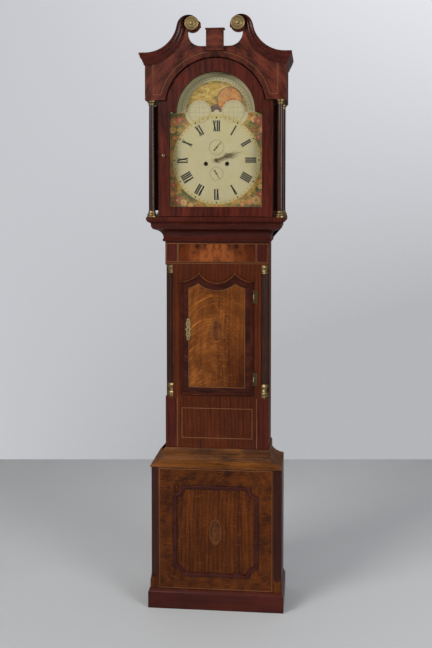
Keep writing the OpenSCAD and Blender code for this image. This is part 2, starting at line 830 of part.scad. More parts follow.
// A turned cap and base of a hood column
module column_fittings(cut) {
  difference() {
    union() {
      translate([0, 0, stage_z]) rotate_extrude($fn = 48) polygon([
        [0, 0], [19, 0], [19, 5], [17, 6.5], [18.5, 9.5], [17, 12.5], [13.5, 14.5], [14.5, 17.5], [13.5, 20],
        [12.4, foot_h], [0, foot_h]
      ]);
      translate([0, 0, frieze_z - cap_h]) rotate_extrude($fn = 48) polygon([
        [0, 0], [12, 0], [13, 2], [12, 4], [12.5, 8], [16, 12.5], [18, 13.5], [18, cap_h], [0, cap_h]
      ]);
    }
    if (cut) block([-30, 0, stage_z - 1], [30, 30, frieze_z + 1]);
  }
}

// The brass caps and bases of the hood columns and the ringed rosettes on the scrolls
module hood_brasses() {
  r = rosette_r;
  color("#b8924a") both_sides() {
    translate([column_x, front_column_y, 0]) column_fittings(false);
    translate([column_x, rear_column_y, 0]) column_fittings(true);
    translate([rosette_x, hood_y - moulding_out, rosette_z]) rotate([90, 0, 0]) rotate_extrude($fn = 64)
      polygon([
        [0, 0], [r, 0], [r, 2.5], [r - 2, 4], [r - 4.5, 4], [r - 6.5, 2], [r - 9, 2], [r - 11, 4.5],
        [r - 13.5, 4.5], [r - 15, 3], [7, 3], [5.5, rosette_t - 0.8], [0, rosette_t]
      ]);
  }
}

// The glass in the sides of the hood
module hood_side_glass() {
  side_y = dial_y - 3;
  light_y = (side_y + back_y) / 2 - 6;
  color("#cfd8d6") both_sides()
    block(
      [body_hw - 8, light_y - side_light_w / 2, dial_z - side_light_h / 2],
      [body_hw - 8 + glass_t, light_y + side_light_w / 2, dial_z + side_light_h / 2]
    );
}

// Outline of the hood door
module glass_door_outline() {
  arched(glass_door_w / 2, stage_z + 2.5, door_top, arch_r - wood_gap, arch_cut_z);
}

// The frame of the hood door, rebated for its glass
module glass_door() {
  rim = 4;
  color("#4a1c13") difference() {
    slab(door_y, glass_door_t) glass_door_outline();
    slab(door_y - 1, glass_door_t + 2) arched(sight_hw, sight_low, sight_high, sight_r, arch_z);
    slab(door_y + 9, glass_door_t) arched(sight_hw + rim, sight_low - rim, sight_high + rim, sight_r + rim, arch_z);
  }
}

// The glass of the hood door, in its rebate
module door_glass() {
  rim = 4 - seat_gap;
  color("#d8e0de")
    slab(door_y + 9, glass_t) arched(sight_hw + rim, sight_low - rim, sight_high + rim, sight_r + rim, arch_z);
}

// The strap hinges with their pins, and the knob on the other stile
module glass_door_brasses() {
  pin_r = 2;
  color("#b8924a") {
    for (s = [[stage_z + 2.5 - strap_t, stage_z - 8, stage_z + 2.5], [door_top, door_top, frieze_z + 8]]) {
      block([glass_pin_x - 19, glass_pin_y - 4.5, s[0]], [glass_pin_x + 4, glass_pin_y + 4.5, s[0] + strap_t]);
      translate([glass_pin_x, glass_pin_y, s[1]]) cylinder(h = s[2] - s[1], r = pin_r, $fn = 24);
    }
    translate([-glass_door_w / 2 + 18, door_y, dial_z + 16]) rotate([90, 0, 0]) rotate_extrude($fn = 40)
      polygon([[0, 0], [6.5, 0], [6.5, 1.2], [2.6, 2], [2.4, 5], [5, 8], [5.4, 10.5], [3.6, 13], [0, 13.6]]);
  }
}

// Places of the arbors in x and height above the dial centre
bar_at = [wind_x, -wind_down];
strike_bar_at = [-wind_x, -wind_down];
great_mod = 2 * norm(bar_at) / (great_n + leaf_n);
third_a = train_mod * (centre_n + leaf_n) / 2;
third_b = train_mod * (third_n + small_leaf_n) / 2;
third_up = (third_a * third_a - third_b * third_b + seconds_up * seconds_up) / (2 * seconds_up);
third_at = [sqrt(third_a * third_a - third_up * third_up), third_up];
escape_at = [0, seconds_up];
pallet_at = [0, seconds_up + pallet_up];
gather_mod = 0.75;
warn_mod = 0.7;
fly_mod = 0.65;
function step(from, n1, n2, m, a) = from + m * (n1 + n2) / 2 * [cos(a), sin(a)];
pin_turn = 95;
gather_turn = 60;
warn_turn = 110;
fly_turn = 40;
pin_at = step(strike_bar_at, strike_great_n, leaf_n, strike_mod, pin_turn);
gather_at = step(pin_at, pin_wheel_n, small_leaf_n, gather_mod, gather_turn);
warn_at = step(gather_at, gather_n, small_leaf_n, warn_mod, warn_turn);
fly_at = step(warn_at, warn_n, fly_leaf_n, fly_mod, fly_turn);
minute_at = [0, -minute_down];
date_at = [0, -date_down];
hammer_at = [-62, 38];
rack_at = [-58, -8];
hook_at = [-4, 60];
cannon_mod = minute_down / minute_n;
hour_mod = 2 * minute_down / (hour_n + minute_leaf_n);

// Depths behind the inside of the front plate
back_v = pillar_l + plate_t;
front_v = -plate_t;
dial_v = -plate_t - dial_foot - dial_t;
line_v = 30;
drum_v = 6;
great_v = drum_v + drum_l + 6;
cock_v = 72;
rack_v = -11.5;
rack_t = 1.7;
cannon_v = -6.4;
hour_v = -9.4;
minute_v = dial_v - 10.5;
hour_hand_v = dial_v - 6;
small_v = dial_v - 2.4;
disc_v = dial_v + dial_t + 1;
moon_stud_r = 3;

// Places and lengths of the hands, clockwise from twelve
minute_turn = 72;
hour_turn = 66;
seconds_turn = 39;
date_turn = 149;

// The lines and their pulleys
line_x = drum_r + line_r + 0.15;
line_top = seat_z + 3;
pulley_r = drum_r + 4;
pulley_z = seat_z - seat_t - pulley_low;

// Where a tooth of the next wheel stands, so that it meshes with the last one
function mesh_turn(way, last, n1, n2) = way + 180 - (last - way) * n1 / n2 + 180 / n2;
centre_phase = mesh_turn(180 - atan2(wind_down, wind_x), 0, great_n, leaf_n);
third_way = atan2(third_at[1], third_at[0]);
third_phase = mesh_turn(third_way, 0, centre_n, leaf_n);
escape_way = atan2(escape_at[1] - third_at[1], -third_at[0]);
escape_phase = mesh_turn(escape_way, 0, third_n, small_leaf_n);
pin_phase = mesh_turn(pin_turn, 0, strike_great_n, leaf_n);
gather_phase = mesh_turn(gather_turn, 0, pin_wheel_n, small_leaf_n);
warn_phase = mesh_turn(warn_turn, 0, gather_n, small_leaf_n);
fly_phase = mesh_turn(fly_turn, 0, warn_n, fly_leaf_n);
minute_phase = mesh_turn(-90, 0, minute_n, minute_n);
hour_phase = mesh_turn(90, 0, minute_leaf_n, hour_n);

// Moves its children to an arbor, with x across and height up
module at_arbor(p) {
  translate([p[0], 0, dial_z + p[1]]) children();
}

// A slab placed by its depth behind the front plate
module plate_slab(depth, t) {
  slab(inside_y + depth, t) children();
}

// A round rod on an arbor's axis between two depths
module arbor_rod(v0, v1, r, fn = 24) {
  rod(0, 0, inside_y + v0, inside_y + v1, r, fn);
}

// Outline of a toothed wheel; wide is the share of the pitch that a tooth takes
module teeth(n, m, turn, wide, add = 1, ded = 1.25) {
  r = n * m / 2;
  p = 360 / n;
  polygon([
    for (i = [0 : n - 1])
      let (a = turn + i * p)
      each [
        for (c = [[r - ded * m, -wide / 2 - 0.05], [r + add * m, -wide / 4.5], [r + add * m, wide / 4.5], [r - ded * m, wide / 2 + 0.05]])
          [c[0] * cos(a + c[1] * p), c[0] * sin(a + c[1] * p)]
      ]
  ]);
}

// The windows between the spokes of a wheel
module crossings(rim, hub, arm, turn = 45, spokes = 4) {
  difference() {
    circle(rim, $fn = 64);
    circle(hub, $fn = 32);
    for (i = [0 : spokes - 1]) rotate(turn + i * 360 / spokes) translate([0, -arm / 2]) square([rim + 1, arm]);
  }
}

// A spoked wheel
module wheel(depth, n, m, turn, hub = 5, arm = 2.2, t = wheel_t) {
  rim = n * m / 2 - 1.25 * m - 2.4;
  plate_slab(depth, t) difference() {
    teeth(n, m, turn, 0.44);
    crossings(rim, hub, arm);
  }
}

// A pinion cut from the solid
module pinion(depth, n, m, turn, l) {
  plate_slab(depth, l) teeth(n, m, turn, 0.4, 0.85, 1.45);
}

// An arbor between the plates with a pivot at each end
module arbor(r = arbor_r) {
  arbor_rod(0.3, pillar_l - 0.3, r);
  arbor_rod(front_v, 0.3, pivot_r);
  arbor_rod(pillar_l - 0.3, back_v, pivot_r);
}

// The holes that both plates share
module pivot_holes(r) {
  for (p = [third_at, escape_at, pin_at, gather_at, warn_at, fly_at, hammer_at])
    translate(p) circle(r, $fn = 24);
}

// The outline of a movement plate
module plate_outline() {
  translate([-plate_wide / 2, -plate_low]) square([plate_wide, plate_top + plate_low]);
}

// Places of the pillars
function pillar_places() = [
  for (p = [[-1, -1], [1, -1], [-1, 1], [1, 1]])
    [p[0] * (plate_wide / 2 - 9), p[1] > 0 ? plate_top - 9 : -plate_low + 9]
];

pivot_hole = pivot_r + pivot_gap;
barrel_pivot = 3.4;
centre_r = 1.5;
cannon_in = centre_r + 0.2;
cannon_out = cannon_in + 1.1;
hour_in = cannon_out + 0.25;
hour_out = hour_in + 1.1;
seconds_r = 1.1;
stud_r = 1.5;
minute_stud_r = 0.7;
thread_r = 1.1;

// The front plate with the studs of the striking levers
module front_plate() {
  color("#b5933f") {
    at_arbor([0, 0]) plate_slab(front_v, plate_t) difference() {
      plate_outline();
      pivot_holes(pivot_hole);
      translate(escape_at) circle(seconds_r + pivot_gap, $fn = 24);
      translate(gather_at) circle(seconds_r + pivot_gap, $fn = 24);
      translate(pallet_at) circle(pivot_hole, $fn = 24);
      circle(centre_r + pivot_gap, $fn = 24);
      for (p = [bar_at, strike_bar_at]) translate(p) circle(barrel_pivot + pivot_gap, $fn = 32);
    }
    for (p = [rack_at, hook_at]) at_arbor(p) arbor_rod(front_v - 10, front_v, stud_r);
    at_arbor(minute_at) arbor_rod(front_v - 8.6, front_v, minute_stud_r);
  }
}

// The back plate with the pillars riveted to it
module back_plate() {
  color("#b5933f") {
    at_arbor([0, 0]) plate_slab(pillar_l, plate_t) difference() {
      plate_outline();
      pivot_holes(pivot_hole);
      translate(pallet_at) circle(8, $fn = 32);
      circle(pivot_hole, $fn = 24);
      for (p = [bar_at, strike_bar_at]) translate(p) circle(2 + pivot_gap, $fn = 32);
    }
    for (p = pillar_places()) at_arbor(p) rotate([-90, 0, 0]) translate([0, 0, inside_y]) rotate_extrude($fn = 40)
      polygon([
        [0, 0], [pillar_r + 1.5, 0], [pillar_r + 1.5, 2.5], [pillar_r - 1, 4], [pillar_r - 2, 14],
        [pillar_r - 1, line_v - 6], [pillar_r - 1, line_v + 6], [pillar_r - 2, pillar_l - 10],
        [pillar_r - 1, pillar_l - 4], [pillar_r + 1.5, pillar_l - 2.5], [pillar_r + 1.5, pillar_l], [0, pillar_l]
      ]);
    back_cock();
  }
}

// The back cock, which holds the rear pivot of the pallets and the suspension
module back_cock() {
  top = 16;
  at_arbor(pallet_at) {
    plate_slab(cock_v, 3) difference() {
      union() {
        translate([-28, 4]) square([56, 11]);
        translate([-7, -5]) square([14, 12]);
      }
      circle(pivot_hole, $fn = 24);
    }
    both_sides() plate_slab(back_v, cock_v - back_v) translate([18, 4]) square([10, 11]);
    difference() {
      block([-7, inside_y + cock_v + 3, 4], [7, inside_y + pendulum_v + 5, top]);
      block([-1.4, inside_y + cock_v + 4, 3], [1.4, inside_y + pendulum_v + 6, top - 5]);
    }
  }
}

// The bell over the plates, with its stand on the back plate
module bell() {
  r = 46;
  rim_z = dial_z + plate_top + 10;
  x = 50;
  y = inside_y + 45;
  h = 42;
  color("#c9b27a") {
    translate([0, y, rim_z]) rotate_extrude($fn = 96)
      polygon(concat(
        [[r, 0], [r, 3]],
        [for (i = [1 : 9]) [(r - 0.5) * cos(i * 10) * (1 - 0.06 * sin(i * 20)), 3 + (h - 3) * sin(i * 10)]],
        [[0, h - 2.2]],
        [for (i = [8 : -1 : 0]) [(r - 3) * cos(i * 10) * (1 - 0.06 * sin(i * 20)), (h - 2.2) * sin(i * 10)]]
      ));
    block([x - 3, inside_y + back_v, dial_z + plate_top - 24], [x + 3, inside_y + back_v + 3, rim_z + h + 9]);
    translate([0, 0, rim_z + h + 6]) linear_extrude(3)
      polygon([[-4, y - 4], [4, y - 4], [x + 3, inside_y + back_v + 2], [x - 3, inside_y + back_v + 2]]);
    translate([0, y, rim_z + h - 0.01]) cylinder(h = 12, r = 2.4, $fn = 24);
  }
}

// The dial: a square plate with an arched head, the moon's opening between two humps, and its feet
module dial() {
  ring_r = 8;
  color("#e6dcb4") {
    slab(dial_y, dial_t) difference() {
      arched(dial_w / 2, dial_z - dial_w / 2, dial_z + dial_w / 2, dial_arch_r, arch_z);
      difference() {
        translate([0, arch_z]) intersection() {
          circle(moon_open_r, $fn = 128);
          translate([-moon_open_r, 0]) square([2 * moon_open_r, moon_open_r]);
        }
        for (x = [-hump_x, hump_x]) translate([x, arch_z - 1]) circle(hump_r, $fn = 64);
        translate([0, arch_z - 1]) circle(10, $fn = 32);
      }
      for (p = [bar_at, strike_bar_at]) translate([p[0], dial_z + p[1]]) circle(ring_r, $fn = 32);
      translate([0, dial_z]) circle(hour_out + 0.5, $fn = 32);
      translate([0, dial_z + seconds_up]) circle(seconds_r + 0.6, $fn = 24);
      translate([0, dial_z - date_down]) circle(2.2, $fn = 24);
    }
    for (x = [-1, 1], p = [[60, -48], [69, 76]])
      translate([0, 0, dial_z]) rod(x * p[0], p[1], dial_y + dial_t, inside_y - plate_t, 3, 24);
    translate([0, 0, arch_z]) {
      arbor_rod(dial_v + dial_t, disc_v + 3.5, moon_stud_r);
      arbor_rod(disc_v + 2.3, disc_v + 3.5, 6);
    }
  }
}

// A barrel with its winding arbor and ratchet
module barrel(p) {
  color("#c2a25a") at_arbor(p) {
    arbor_rod(drum_v, drum_v + drum_l, drum_r, 64);
    for (a = [drum_v - 1.5, drum_v + drum_l]) arbor_rod(a, a + 1.5, drum_r + 2.5, 64);
    plate_slab(drum_v + drum_l + 1.5, 1.8) teeth(40, 1.2, 0, 0.5, 0.7, 0.9);
    arbor_rod(front_v, drum_v, barrel_pivot, 32);
    arbor_rod(drum_v + drum_l, pillar_l - 0.3, 3.4, 32);
    arbor_rod(pillar_l - 0.3, back_v, 2, 32);
    plate_slab(front_v - 24, 24) translate([-2.3, -2.3]) square(4.6);
  }
}

module going_barrel() {
  barrel(bar_at);
}

module strike_barrel() {
  barrel(strike_bar_at);
}

// A great wheel with its click and spring, turning on the barrel arbor
module great_wheel(p, depth, n, m) {
  color("#b8963f") at_arbor(p) {
    plate_slab(depth, 3) difference() {
      teeth(n, m, 0, 0.44);
      circle(3.4 + 0.2, $fn = 32);
      crossings(n * m / 2 - 1.25 * m - 3.2, 9, 4);
    }
  }
}

module going_great_wheel() {
  great_wheel(bar_at, great_v + 1.5, great_n, great_mod);
}

module strike_great_wheel() {
  great_wheel(strike_bar_at, great_v - 2.5, strike_great_n, strike_mod);
}

// The centre arbor with its pinion and wheel, running forward to carry the hands
module centre_wheel() {
  color("#b8963f") at_arbor([0, 0]) {
    wheel(pillar_l - wheel_t - 1.4, centre_n, train_mod, 0);
    pinion(great_v + 0.5, leaf_n, great_mod, centre_phase, 5.4);
    arbor_rod(0.3, great_v + 0.5, arbor_r);
    arbor_rod(great_v + 5.9, pillar_l - 0.3, arbor_r);
    arbor_rod(pillar_l - 0.3, back_v, pivot_r);
    arbor_rod(dial_v - 13.5, 0.3, centre_r);
  }
}

module third_wheel() {
  color("#b8963f") at_arbor(third_at) {
    wheel(2.2, third_n, train_mod, 0);
    pinion(pillar_l - wheel_t - 2.4, leaf_n, train_mod, third_phase, wheel_t + 1.6);
    arbor();
  }
}

// The escape wheel with thirty pointed teeth
module escape_wheel() {
  root = escape_r - 4.6;
  p = 360 / escape_n;
  color("#c2a04a") at_arbor(escape_at) {
    plate_slab(38, wheel_t) difference() {
      polygon([
        for (i = [0 : escape_n - 1])
          let (a = i * p)
          each [
            for (c = [[root, 0.02], [escape_r - 1.4, 0.36], [escape_r, 0.5], [escape_r - 0.3, 0.56], [root + 0.4, 0.62], [root, 0.8]])
              [c[0] * cos(a + c[1] * p), c[0] * sin(a + c[1] * p)]
          ]
      ]);
      crossings(root - 2.6, 4.6, 1.8);
    }
    pinion(1.2, small_leaf_n, train_mod, escape_phase, 4.4);
    arbor();
    arbor_rod(dial_v - 4.4, 0.3, seconds_r);
  }
}

// The anchor on its arbor, with the crutch behind the back plate
module pallets() {
  reach = escape_r + 1.9;
  nib = reach * sin(45);
  drop = reach * cos(45) - pallet_up;
  color("#8d8f92") at_arbor(pallet_at) {
    plate_slab(37, 4) polygon(concat(
      [[0, 6], [8, 4], [nib, -2], [nib + 4.5, -8], [nib + 4, drop + 1], [nib, drop], [nib - 3, -5.5], [6, -3.5]],
      [[-6, -3.5], [-nib + 3, -5.5], [-nib, drop], [-nib - 4, drop + 1], [-nib - 4.5, -8], [-nib, -2], [-8, 4]]
    ));
    arbor_rod(0.3, cock_v - 0.3, arbor_r);
    arbor_rod(front_v, 0.3, pivot_r);
    arbor_rod(cock_v - 0.3, cock_v + 3, pivot_r);
    arbor_rod(back_v + 3, back_v + 7, 4);
    block([-1.5, inside_y + back_v + 4, -124], [1.5, inside_y + back_v + 6, -2]);
    block([-rod_w / 2 - 2.2, inside_y + back_v + 4, -124], [rod_w / 2 + 2.2, inside_y + back_v + 6, -119]);
    both_sides()
      block([rod_w / 2 + 0.5, inside_y + back_v + 4, -124], [rod_w / 2 + 2.2, inside_y + pendulum_v + 5, -119]);
  }
}

// The pendulum: suspension spring, flat rod and the threaded end that passes through the bob
module pendulum_rod() {
  y = inside_y + pendulum_v;
  foot = -pendulum_l - bob_r + 8;
  color("#9a8a5a") at_arbor(pallet_at) {
    block([-0.25, y - 4, -22], [0.25, y + 4, 16 - 5 - seat_gap]);
    block([-5, y - 3, -36], [5, y + 3, -22]);
    block([-rod_w / 2, y - rod_t / 2, foot], [rod_w / 2, y + rod_t / 2, -36]);
    translate([0, y, foot - 34]) cylinder(h = 34, r = thread_r, $fn = 24);
  }
}

// The lens-shaped bob, with a slot for the rod
module pendulum_bob() {
  lens = 2.2;
  half = bob_t / 2;
  color("#b8924a") at_arbor(pallet_at) translate([0, inside_y + pendulum_v, -pendulum_l]) difference() {
    rotate([90, 0, 0]) rotate_extrude($fn = 96) polygon(concat(
      [[0, -half]],
      [for (i = [1 : 8]) let (t = i / 8) [bob_r * t, -lens - (half - lens) * cos(90 * t)]],
      [for (i = [8 : -1 : 1]) let (t = i / 8) [bob_r * t, lens + (half - lens) * cos(90 * t)]],
      [[0, half]]
    ));
    block([-rod_w / 2 - 0.5, -rod_t / 2 - 0.5, -bob_r - 1], [rod_w / 2 + 0.5, rod_t / 2 + 0.5, bob_r + 1]);
  }
}

// The rating nut that carries the bob
module rating_nut() {
  top = -pendulum_l - bob_r - seat_gap;
  color("#b8924a") at_arbor(pallet_at) translate([0, inside_y + pendulum_v, top - 8]) difference() {
    union() {
      cylinder(h = 6, r = 9, $fn = 48);
      translate([0, 0, 6]) cylinder(h = 2, r = 7, $fn = 32);
    }
    translate([0, 0, -1]) cylinder(h = 10, r = thread_r + pivot_gap, $fn = 24);
  }
}

// The striking train: pin wheel with its eight hammer pins
module pin_wheel() {
  color("#b8963f") at_arbor(pin_at) {
    plate_slab(47, wheel_t) teeth(pin_wheel_n, gather_mod, 0, 0.44);
    pinion(great_v - 3, leaf_n, strike_mod, pin_phase, 4);
    for (i = [0 : hammer_pins - 1]) let (a = i * 360 / hammer_pins)
      rod(15 * cos(a), 15 * sin(a), inside_y + 47, inside_y + 53, 1, 16);
    arbor();
  }
}

// The gathering wheel, whose arbor carries the gathering pallet in front of the plate
module gathering_wheel() {
  color("#b8963f") at_arbor(gather_at) {
    wheel(20, gather_n, warn_mod, 0);
    pinion(46.2, small_leaf_n, gather_mod, gather_phase, 3.6);
    arbor();
    arbor_rod(rack_v - 0.5, 0.3, seconds_r);
    plate_slab(rack_v, rack_t) {
      circle(2.6, $fn = 24);
      rotate(150) translate([0, -1]) square([4.6, 2]);
    }
  }
}

module warning_wheel() {
  color("#b8963f") at_arbor(warn_at) {
    wheel(28, warn_n, fly_mod, 0);
    pinion(19.2, small_leaf_n, warn_mod, warn_phase, 3.6);
    arbor(1.4);
  }
}

// The fly, a thin vane that brakes the striking train
module fly() {
  color("#b8963f") at_arbor(fly_at) {
    pinion(27.2, fly_leaf_n, fly_mod, fly_phase, 3.6);
    arbor(1);
    arbor_rod(5, 17, 2.2);
    block([-12, inside_y + 4, -0.5], [12, inside_y + 18, 0.5]);
  }
}

// The bell hammer on its arbor, with the tail that the pins lift
module hammer() {
  head_z = plate_top + 16 - hammer_at[1];
  stem_x = 12;
  color("#8d8f92") at_arbor(hammer_at) {
    arbor();
    plate_slab(50, 2.5) {
      circle(4, $fn = 32);
      polygon([[-2, 0], [stem_x - 2, 24], [stem_x - 2, head_z], [stem_x + 1, head_z], [stem_x + 1, 23], [2, -1]]);
      polygon([[-2, -1], [6, -5.5], [7, -4], [2, 3]]);
    }
    translate([0, inside_y + 51.2, head_z]) rotate([0, 90, 0]) cylinder(h = 14.5, r = 6, $fn = 40);
  }
}

// A lever that turns on a stud of the front plate
module lever_hub() {
  difference() {
    union() {
      arbor_rod(rack_v, rack_v + rack_t, 4.5, 32);
      arbor_rod(rack_v + rack_t, front_v - 0.4, 2.8, 32);
    }
    arbor_rod(rack_v - 1, front_v, stud_r + pivot_gap);
  }
}

// The rack: a toothed arc that the gathering pallet gathers, and a tail that falls on the snail
module rack() {
  color("#8d8f92") at_arbor(rack_at) {
    lever_hub();
    plate_slab(rack_v, rack_t) difference() {
      union() {
        polygon(concat(
          [for (i = [0 : 13]) each [
            [49.2 * cos(58 + i * 1.8), 49.2 * sin(58 + i * 1.8)], [51 * cos(58.3 + i * 1.8), 51 * sin(58.3 + i * 1.8)]
          ]],
          [[46 * cos(82), 46 * sin(82)], [46 * cos(70), 46 * sin(70)], [46 * cos(58), 46 * sin(58)]]
        ));
        polygon([[-3, 2], [47 * cos(74), 47 * sin(74)], [47 * cos(68), 47 * sin(68)], [3.5, 0]]);
        polygon([[-2, -3], [9, -17.5], [44, -17.5], [44, -12], [41, -12], [41, -14.5], [10.5, -14.5], [3, -1]]);
      }
      circle(4, $fn = 32);
    }
  }
}

// The hook that holds the rack
module rack_hook() {
  color("#8d8f92") at_arbor(hook_at) {
    lever_hub();
    plate_slab(rack_v, rack_t) difference() {
      polygon([[0, 3], [-27, -4], [-42, -8], [-42.5, -10], [-40.5, -16], [-38, -11], [-27, -9], [0, -3.4]]);
      circle(4, $fn = 32);
    }
  }
}

// The hour snail, with a step for every hour
module snail() {
  polygon([
    for (i = [0 : 11])
      each [for (k = [0 : 3]) let (a = i * 30 + k * 10, r = 20 - i * 0.9) [r * cos(a), r * sin(a)]]
  ]);
}

// The filigree of a hand that points up: a pierced crown on a stem and a long tip
module hand_shape(l, boss, crown, size) {
  difference() {
    union() {
      circle(boss, $fn = 40);
      polygon([[-boss * 0.45, 0], [-size * 0.12, crown], [size * 0.12, crown], [boss * 0.45, 0]]);
      for (s = [-1, 1]) {
        translate([s * size * 0.42, crown]) circle(size * 0.42, $fn = 32);
        translate([s * size * 0.28, crown + size * 0.62]) circle(size * 0.3, $fn = 32);
        translate([s * size * 0.2, crown - size * 0.52]) circle(size * 0.24, $fn = 24);
      }
      translate([0, crown + size * 1.5]) circle(size * 0.26, $fn = 32);
      polygon([[-size * 0.14, crown], [-size * 0.1, crown + size * 1.6], [0, l], [size * 0.1, crown + size * 1.6], [size * 0.14, crown]]);
    }
    for (s = [-1, 1]) {
      translate([s * size * 0.46, crown]) circle(size * 0.24, $fn = 24);
      translate([s * size * 0.3, crown + size * 0.62]) circle(size * 0.15, $fn = 24);
    }
  }
}

// A pipe round an arbor
module pipe(v0, v1, outer, inner) {
  difference() {
    arbor_rod(v0, v1, outer, 32);
    arbor_rod(v0 - 1, v1 + 1, inner, 32);
  }
}

// The cannon pipe with its wheel, and the minute hand
module minute_hand() {
  color("#2b2a2c") at_arbor([0, 0]) {
    pipe(minute_v, cannon_v + 1.8, cannon_out, cannon_in);
    plate_slab(cannon_v, 1.8) difference() {
      teeth(minute_n, cannon_mod, 0, 0.44);
      circle(cannon_in, $fn = 32);
      crossings(11.5, 5, 2);
    }
    plate_slab(minute_v, 1.3) rotate(-minute_turn) difference() {
      hand_shape(minute_hand_l, 6.5, 55, 10);
      circle(cannon_in, $fn = 32);
    }
  }
}

module minute_wheel() {
  color("#b8963f") at_arbor(minute_at) difference() {
    union() {
      plate_slab(cannon_v, 1.8) teeth(minute_n, cannon_mod, minute_phase, 0.44);
      pinion(hour_v - 0.6, minute_leaf_n, hour_mod, 0, cannon_v - hour_v + 1);
      arbor_rod(cannon_v, front_v - 0.4, 3);
    }
    arbor_rod(hour_v - 2, front_v, minute_stud_r + pivot_gap);
  }
}

// The hour wheel with its snail and its pipe
module hour_wheel() {
  color("#b8963f") at_arbor([0, 0]) {
    pipe(hour_hand_v + 1, hour_v + 1.5, hour_out, hour_in);
    plate_slab(hour_v, 1.5) difference() {
      teeth(hour_n, hour_mod, hour_phase, 0.44);
      circle(hour_in, $fn = 32);
    }
    plate_slab(hour_v - 2.6, 2.6) difference() {
      snail();
      circle(hour_in, $fn = 32);
    }
  }
}

module hour_hand() {
  color("#2b2a2c") at_arbor([0, 0]) difference() {
    union() {
      plate_slab(hour_hand_v, 1) rotate(-hour_turn) hand_shape(hour_hand_l, 7.5, 42, 11);
      arbor_rod(hour_hand_v - 0.6, hour_hand_v + 0.5, 5.5, 40);
    }
    arbor_rod(hour_hand_v - 2, hour_hand_v + 2, hour_in, 32);
  }
}

// A small plain hand with a counterpoise, pointing up
module small_hand(l) {
  circle(3, $fn = 32);
  polygon([[-1.2, -12], [-0.9, 0], [-0.5, l - 8], [0, l], [0.5, l - 8], [0.9, 0], [1.2, -12]]);
  translate([0, -12]) circle(3.2, $fn = 32);
}

module seconds_hand() {
  color("#2b2a2c") at_arbor(escape_at) difference() {
    union() {
      plate_slab(small_v, 0.6) rotate(-seconds_turn) small_hand(seconds_hand_l);
      arbor_rod(small_v - 0.5, small_v + 1.4, 2, 24);
    }
    arbor_rod(small_v - 1, small_v + 2, seconds_r);
  }
}

// The date hand with its arbor and its wheel of thirty-one teeth behind the dial
module date_hand() {
  color("#2b2a2c") at_arbor(date_at) {
    plate_slab(small_v, 0.6) rotate(-date_turn) small_hand(date_hand_l);
    arbor_rod(small_v - 0.6, disc_v, 1.8);
    arbor_rod(dial_v + dial_t + 0.3, disc_v, 4);
    plate_slab(disc_v, 1.5) teeth(date_n, 1.55, 0, 0.5, 0.8, 1);
  }
}

// The moon disc with its teeth, turning on a stud of the dial
module moon_disc() {
  color("#caa24a") translate([0, 0, arch_z]) difference() {
    union() {
      plate_slab(disc_v, 2) teeth(moon_n, 2, 0, 0.5, 0.5, 0.8);
      arbor_rod(dial_v + dial_t + 0.3, disc_v, 8);
    }
    arbor_rod(dial_v, 0, moon_stud_r + pivot_gap);
  }
}

// A weight with its stirrup, the pin of its pulley and the loop of line under it
module weight(x) {
  cheek = 6.6;
  hook = -pulley_r - 15;
  translate([x, 0, pulley_z]) {
    color("#7a6a48") {
      rotate_about_height([
        [0, hook], [4, hook], [weight_r - 3, hook - 4], [weight_r, hook - 9], [weight_r, hook - weight_h + 5],
        [weight_r - 4, hook - weight_h], [0, hook - weight_h]
      ]);
      translate([0, inside_y + line_v, 0]) {
        for (s = [-1, 1])
          block([-5, s > 0 ? cheek - 1.6 : -cheek, -pulley_r - 9], [5, s > 0 ? cheek : -cheek + 1.6, 6]);
        block([-5, -cheek, -pulley_r - 9], [5, cheek, -pulley_r - 6]);
        translate([0, 0, hook - 1]) cylinder(h = 10, r = 2.5, $fn = 24);
        rod(0, 0, -cheek, cheek, 2, 24);
        rotate([90, 0, 0]) rotate([0, 0, 180]) rotate_extrude(angle = 180, $fn = 64) translate([line_x, 0])
          circle(line_r, $fn = 16);
      }
    }
  }
}

// A turned piece on the weights' axis
module rotate_about_height(points) {
  translate([0, inside_y + line_v, 0]) rotate_extrude($fn = 64) polygon(points);
}

module going_weight() {
  weight(wind_x);
}

module strike_weight() {
  weight(-wind_x);
}

// A grooved pulley
module pulley(x) {
  groove = line_x - line_r - 0.2;
  color("#b8963f") translate([x, inside_y + line_v, pulley_z]) rotate([-90, 0, 0]) rotate_extrude($fn = 64)
    polygon([
      [2.2, -4.6], [7, -4.6], [7, -3], [pulley_r, -3.4], [pulley_r, -2.6], [groove, -1.1], [groove, 1.1],
      [pulley_r, 2.6], [pulley_r, 3.4], [7, 3], [7, 4.6], [2.2, 4.6]
    ]);
}

module going_pulley() {
  pulley(wind_x);
}

module strike_pulley() {
  pulley(-wind_x);
}

// The two strands of a line between the movement and its pulley
module strands(x) {
  color("#c9b48a") for (s = [-1, 1])
    translate([x + s * line_x, inside_y + line_v, pulley_z]) cylinder(h = line_top - pulley_z, r = line_r, $fn = 16);
}

module going_line() {
  strands(wind_x);
}

module strike_line() {
  strands(-wind_x);
}

// The ends of the lines: up to each barrel, and looped over a lower pillar
module line_ends() {
  loop_r = pillar_r - 1 + seat_gap + line_r;
  color("#c9b48a") both_sides() {
    translate([wind_x - line_x, inside_y + line_v, line_top])
      cylinder(h = dial_z - wind_down - line_top, r = line_r, $fn = 16);
    translate([wind_x + line_x, inside_y + line_v, line_top])
      cylinder(h = dial_z - plate_low + 9 - loop_r - line_top, r = line_r, $fn = 16);
    translate([plate_wide / 2 - 9, inside_y + line_v, dial_z - plate_low + 9]) rotate([90, 0, 0])
      rotate_extrude($fn = 48) translate([loop_r, 0]) circle(line_r, $fn = 16);
  }
}

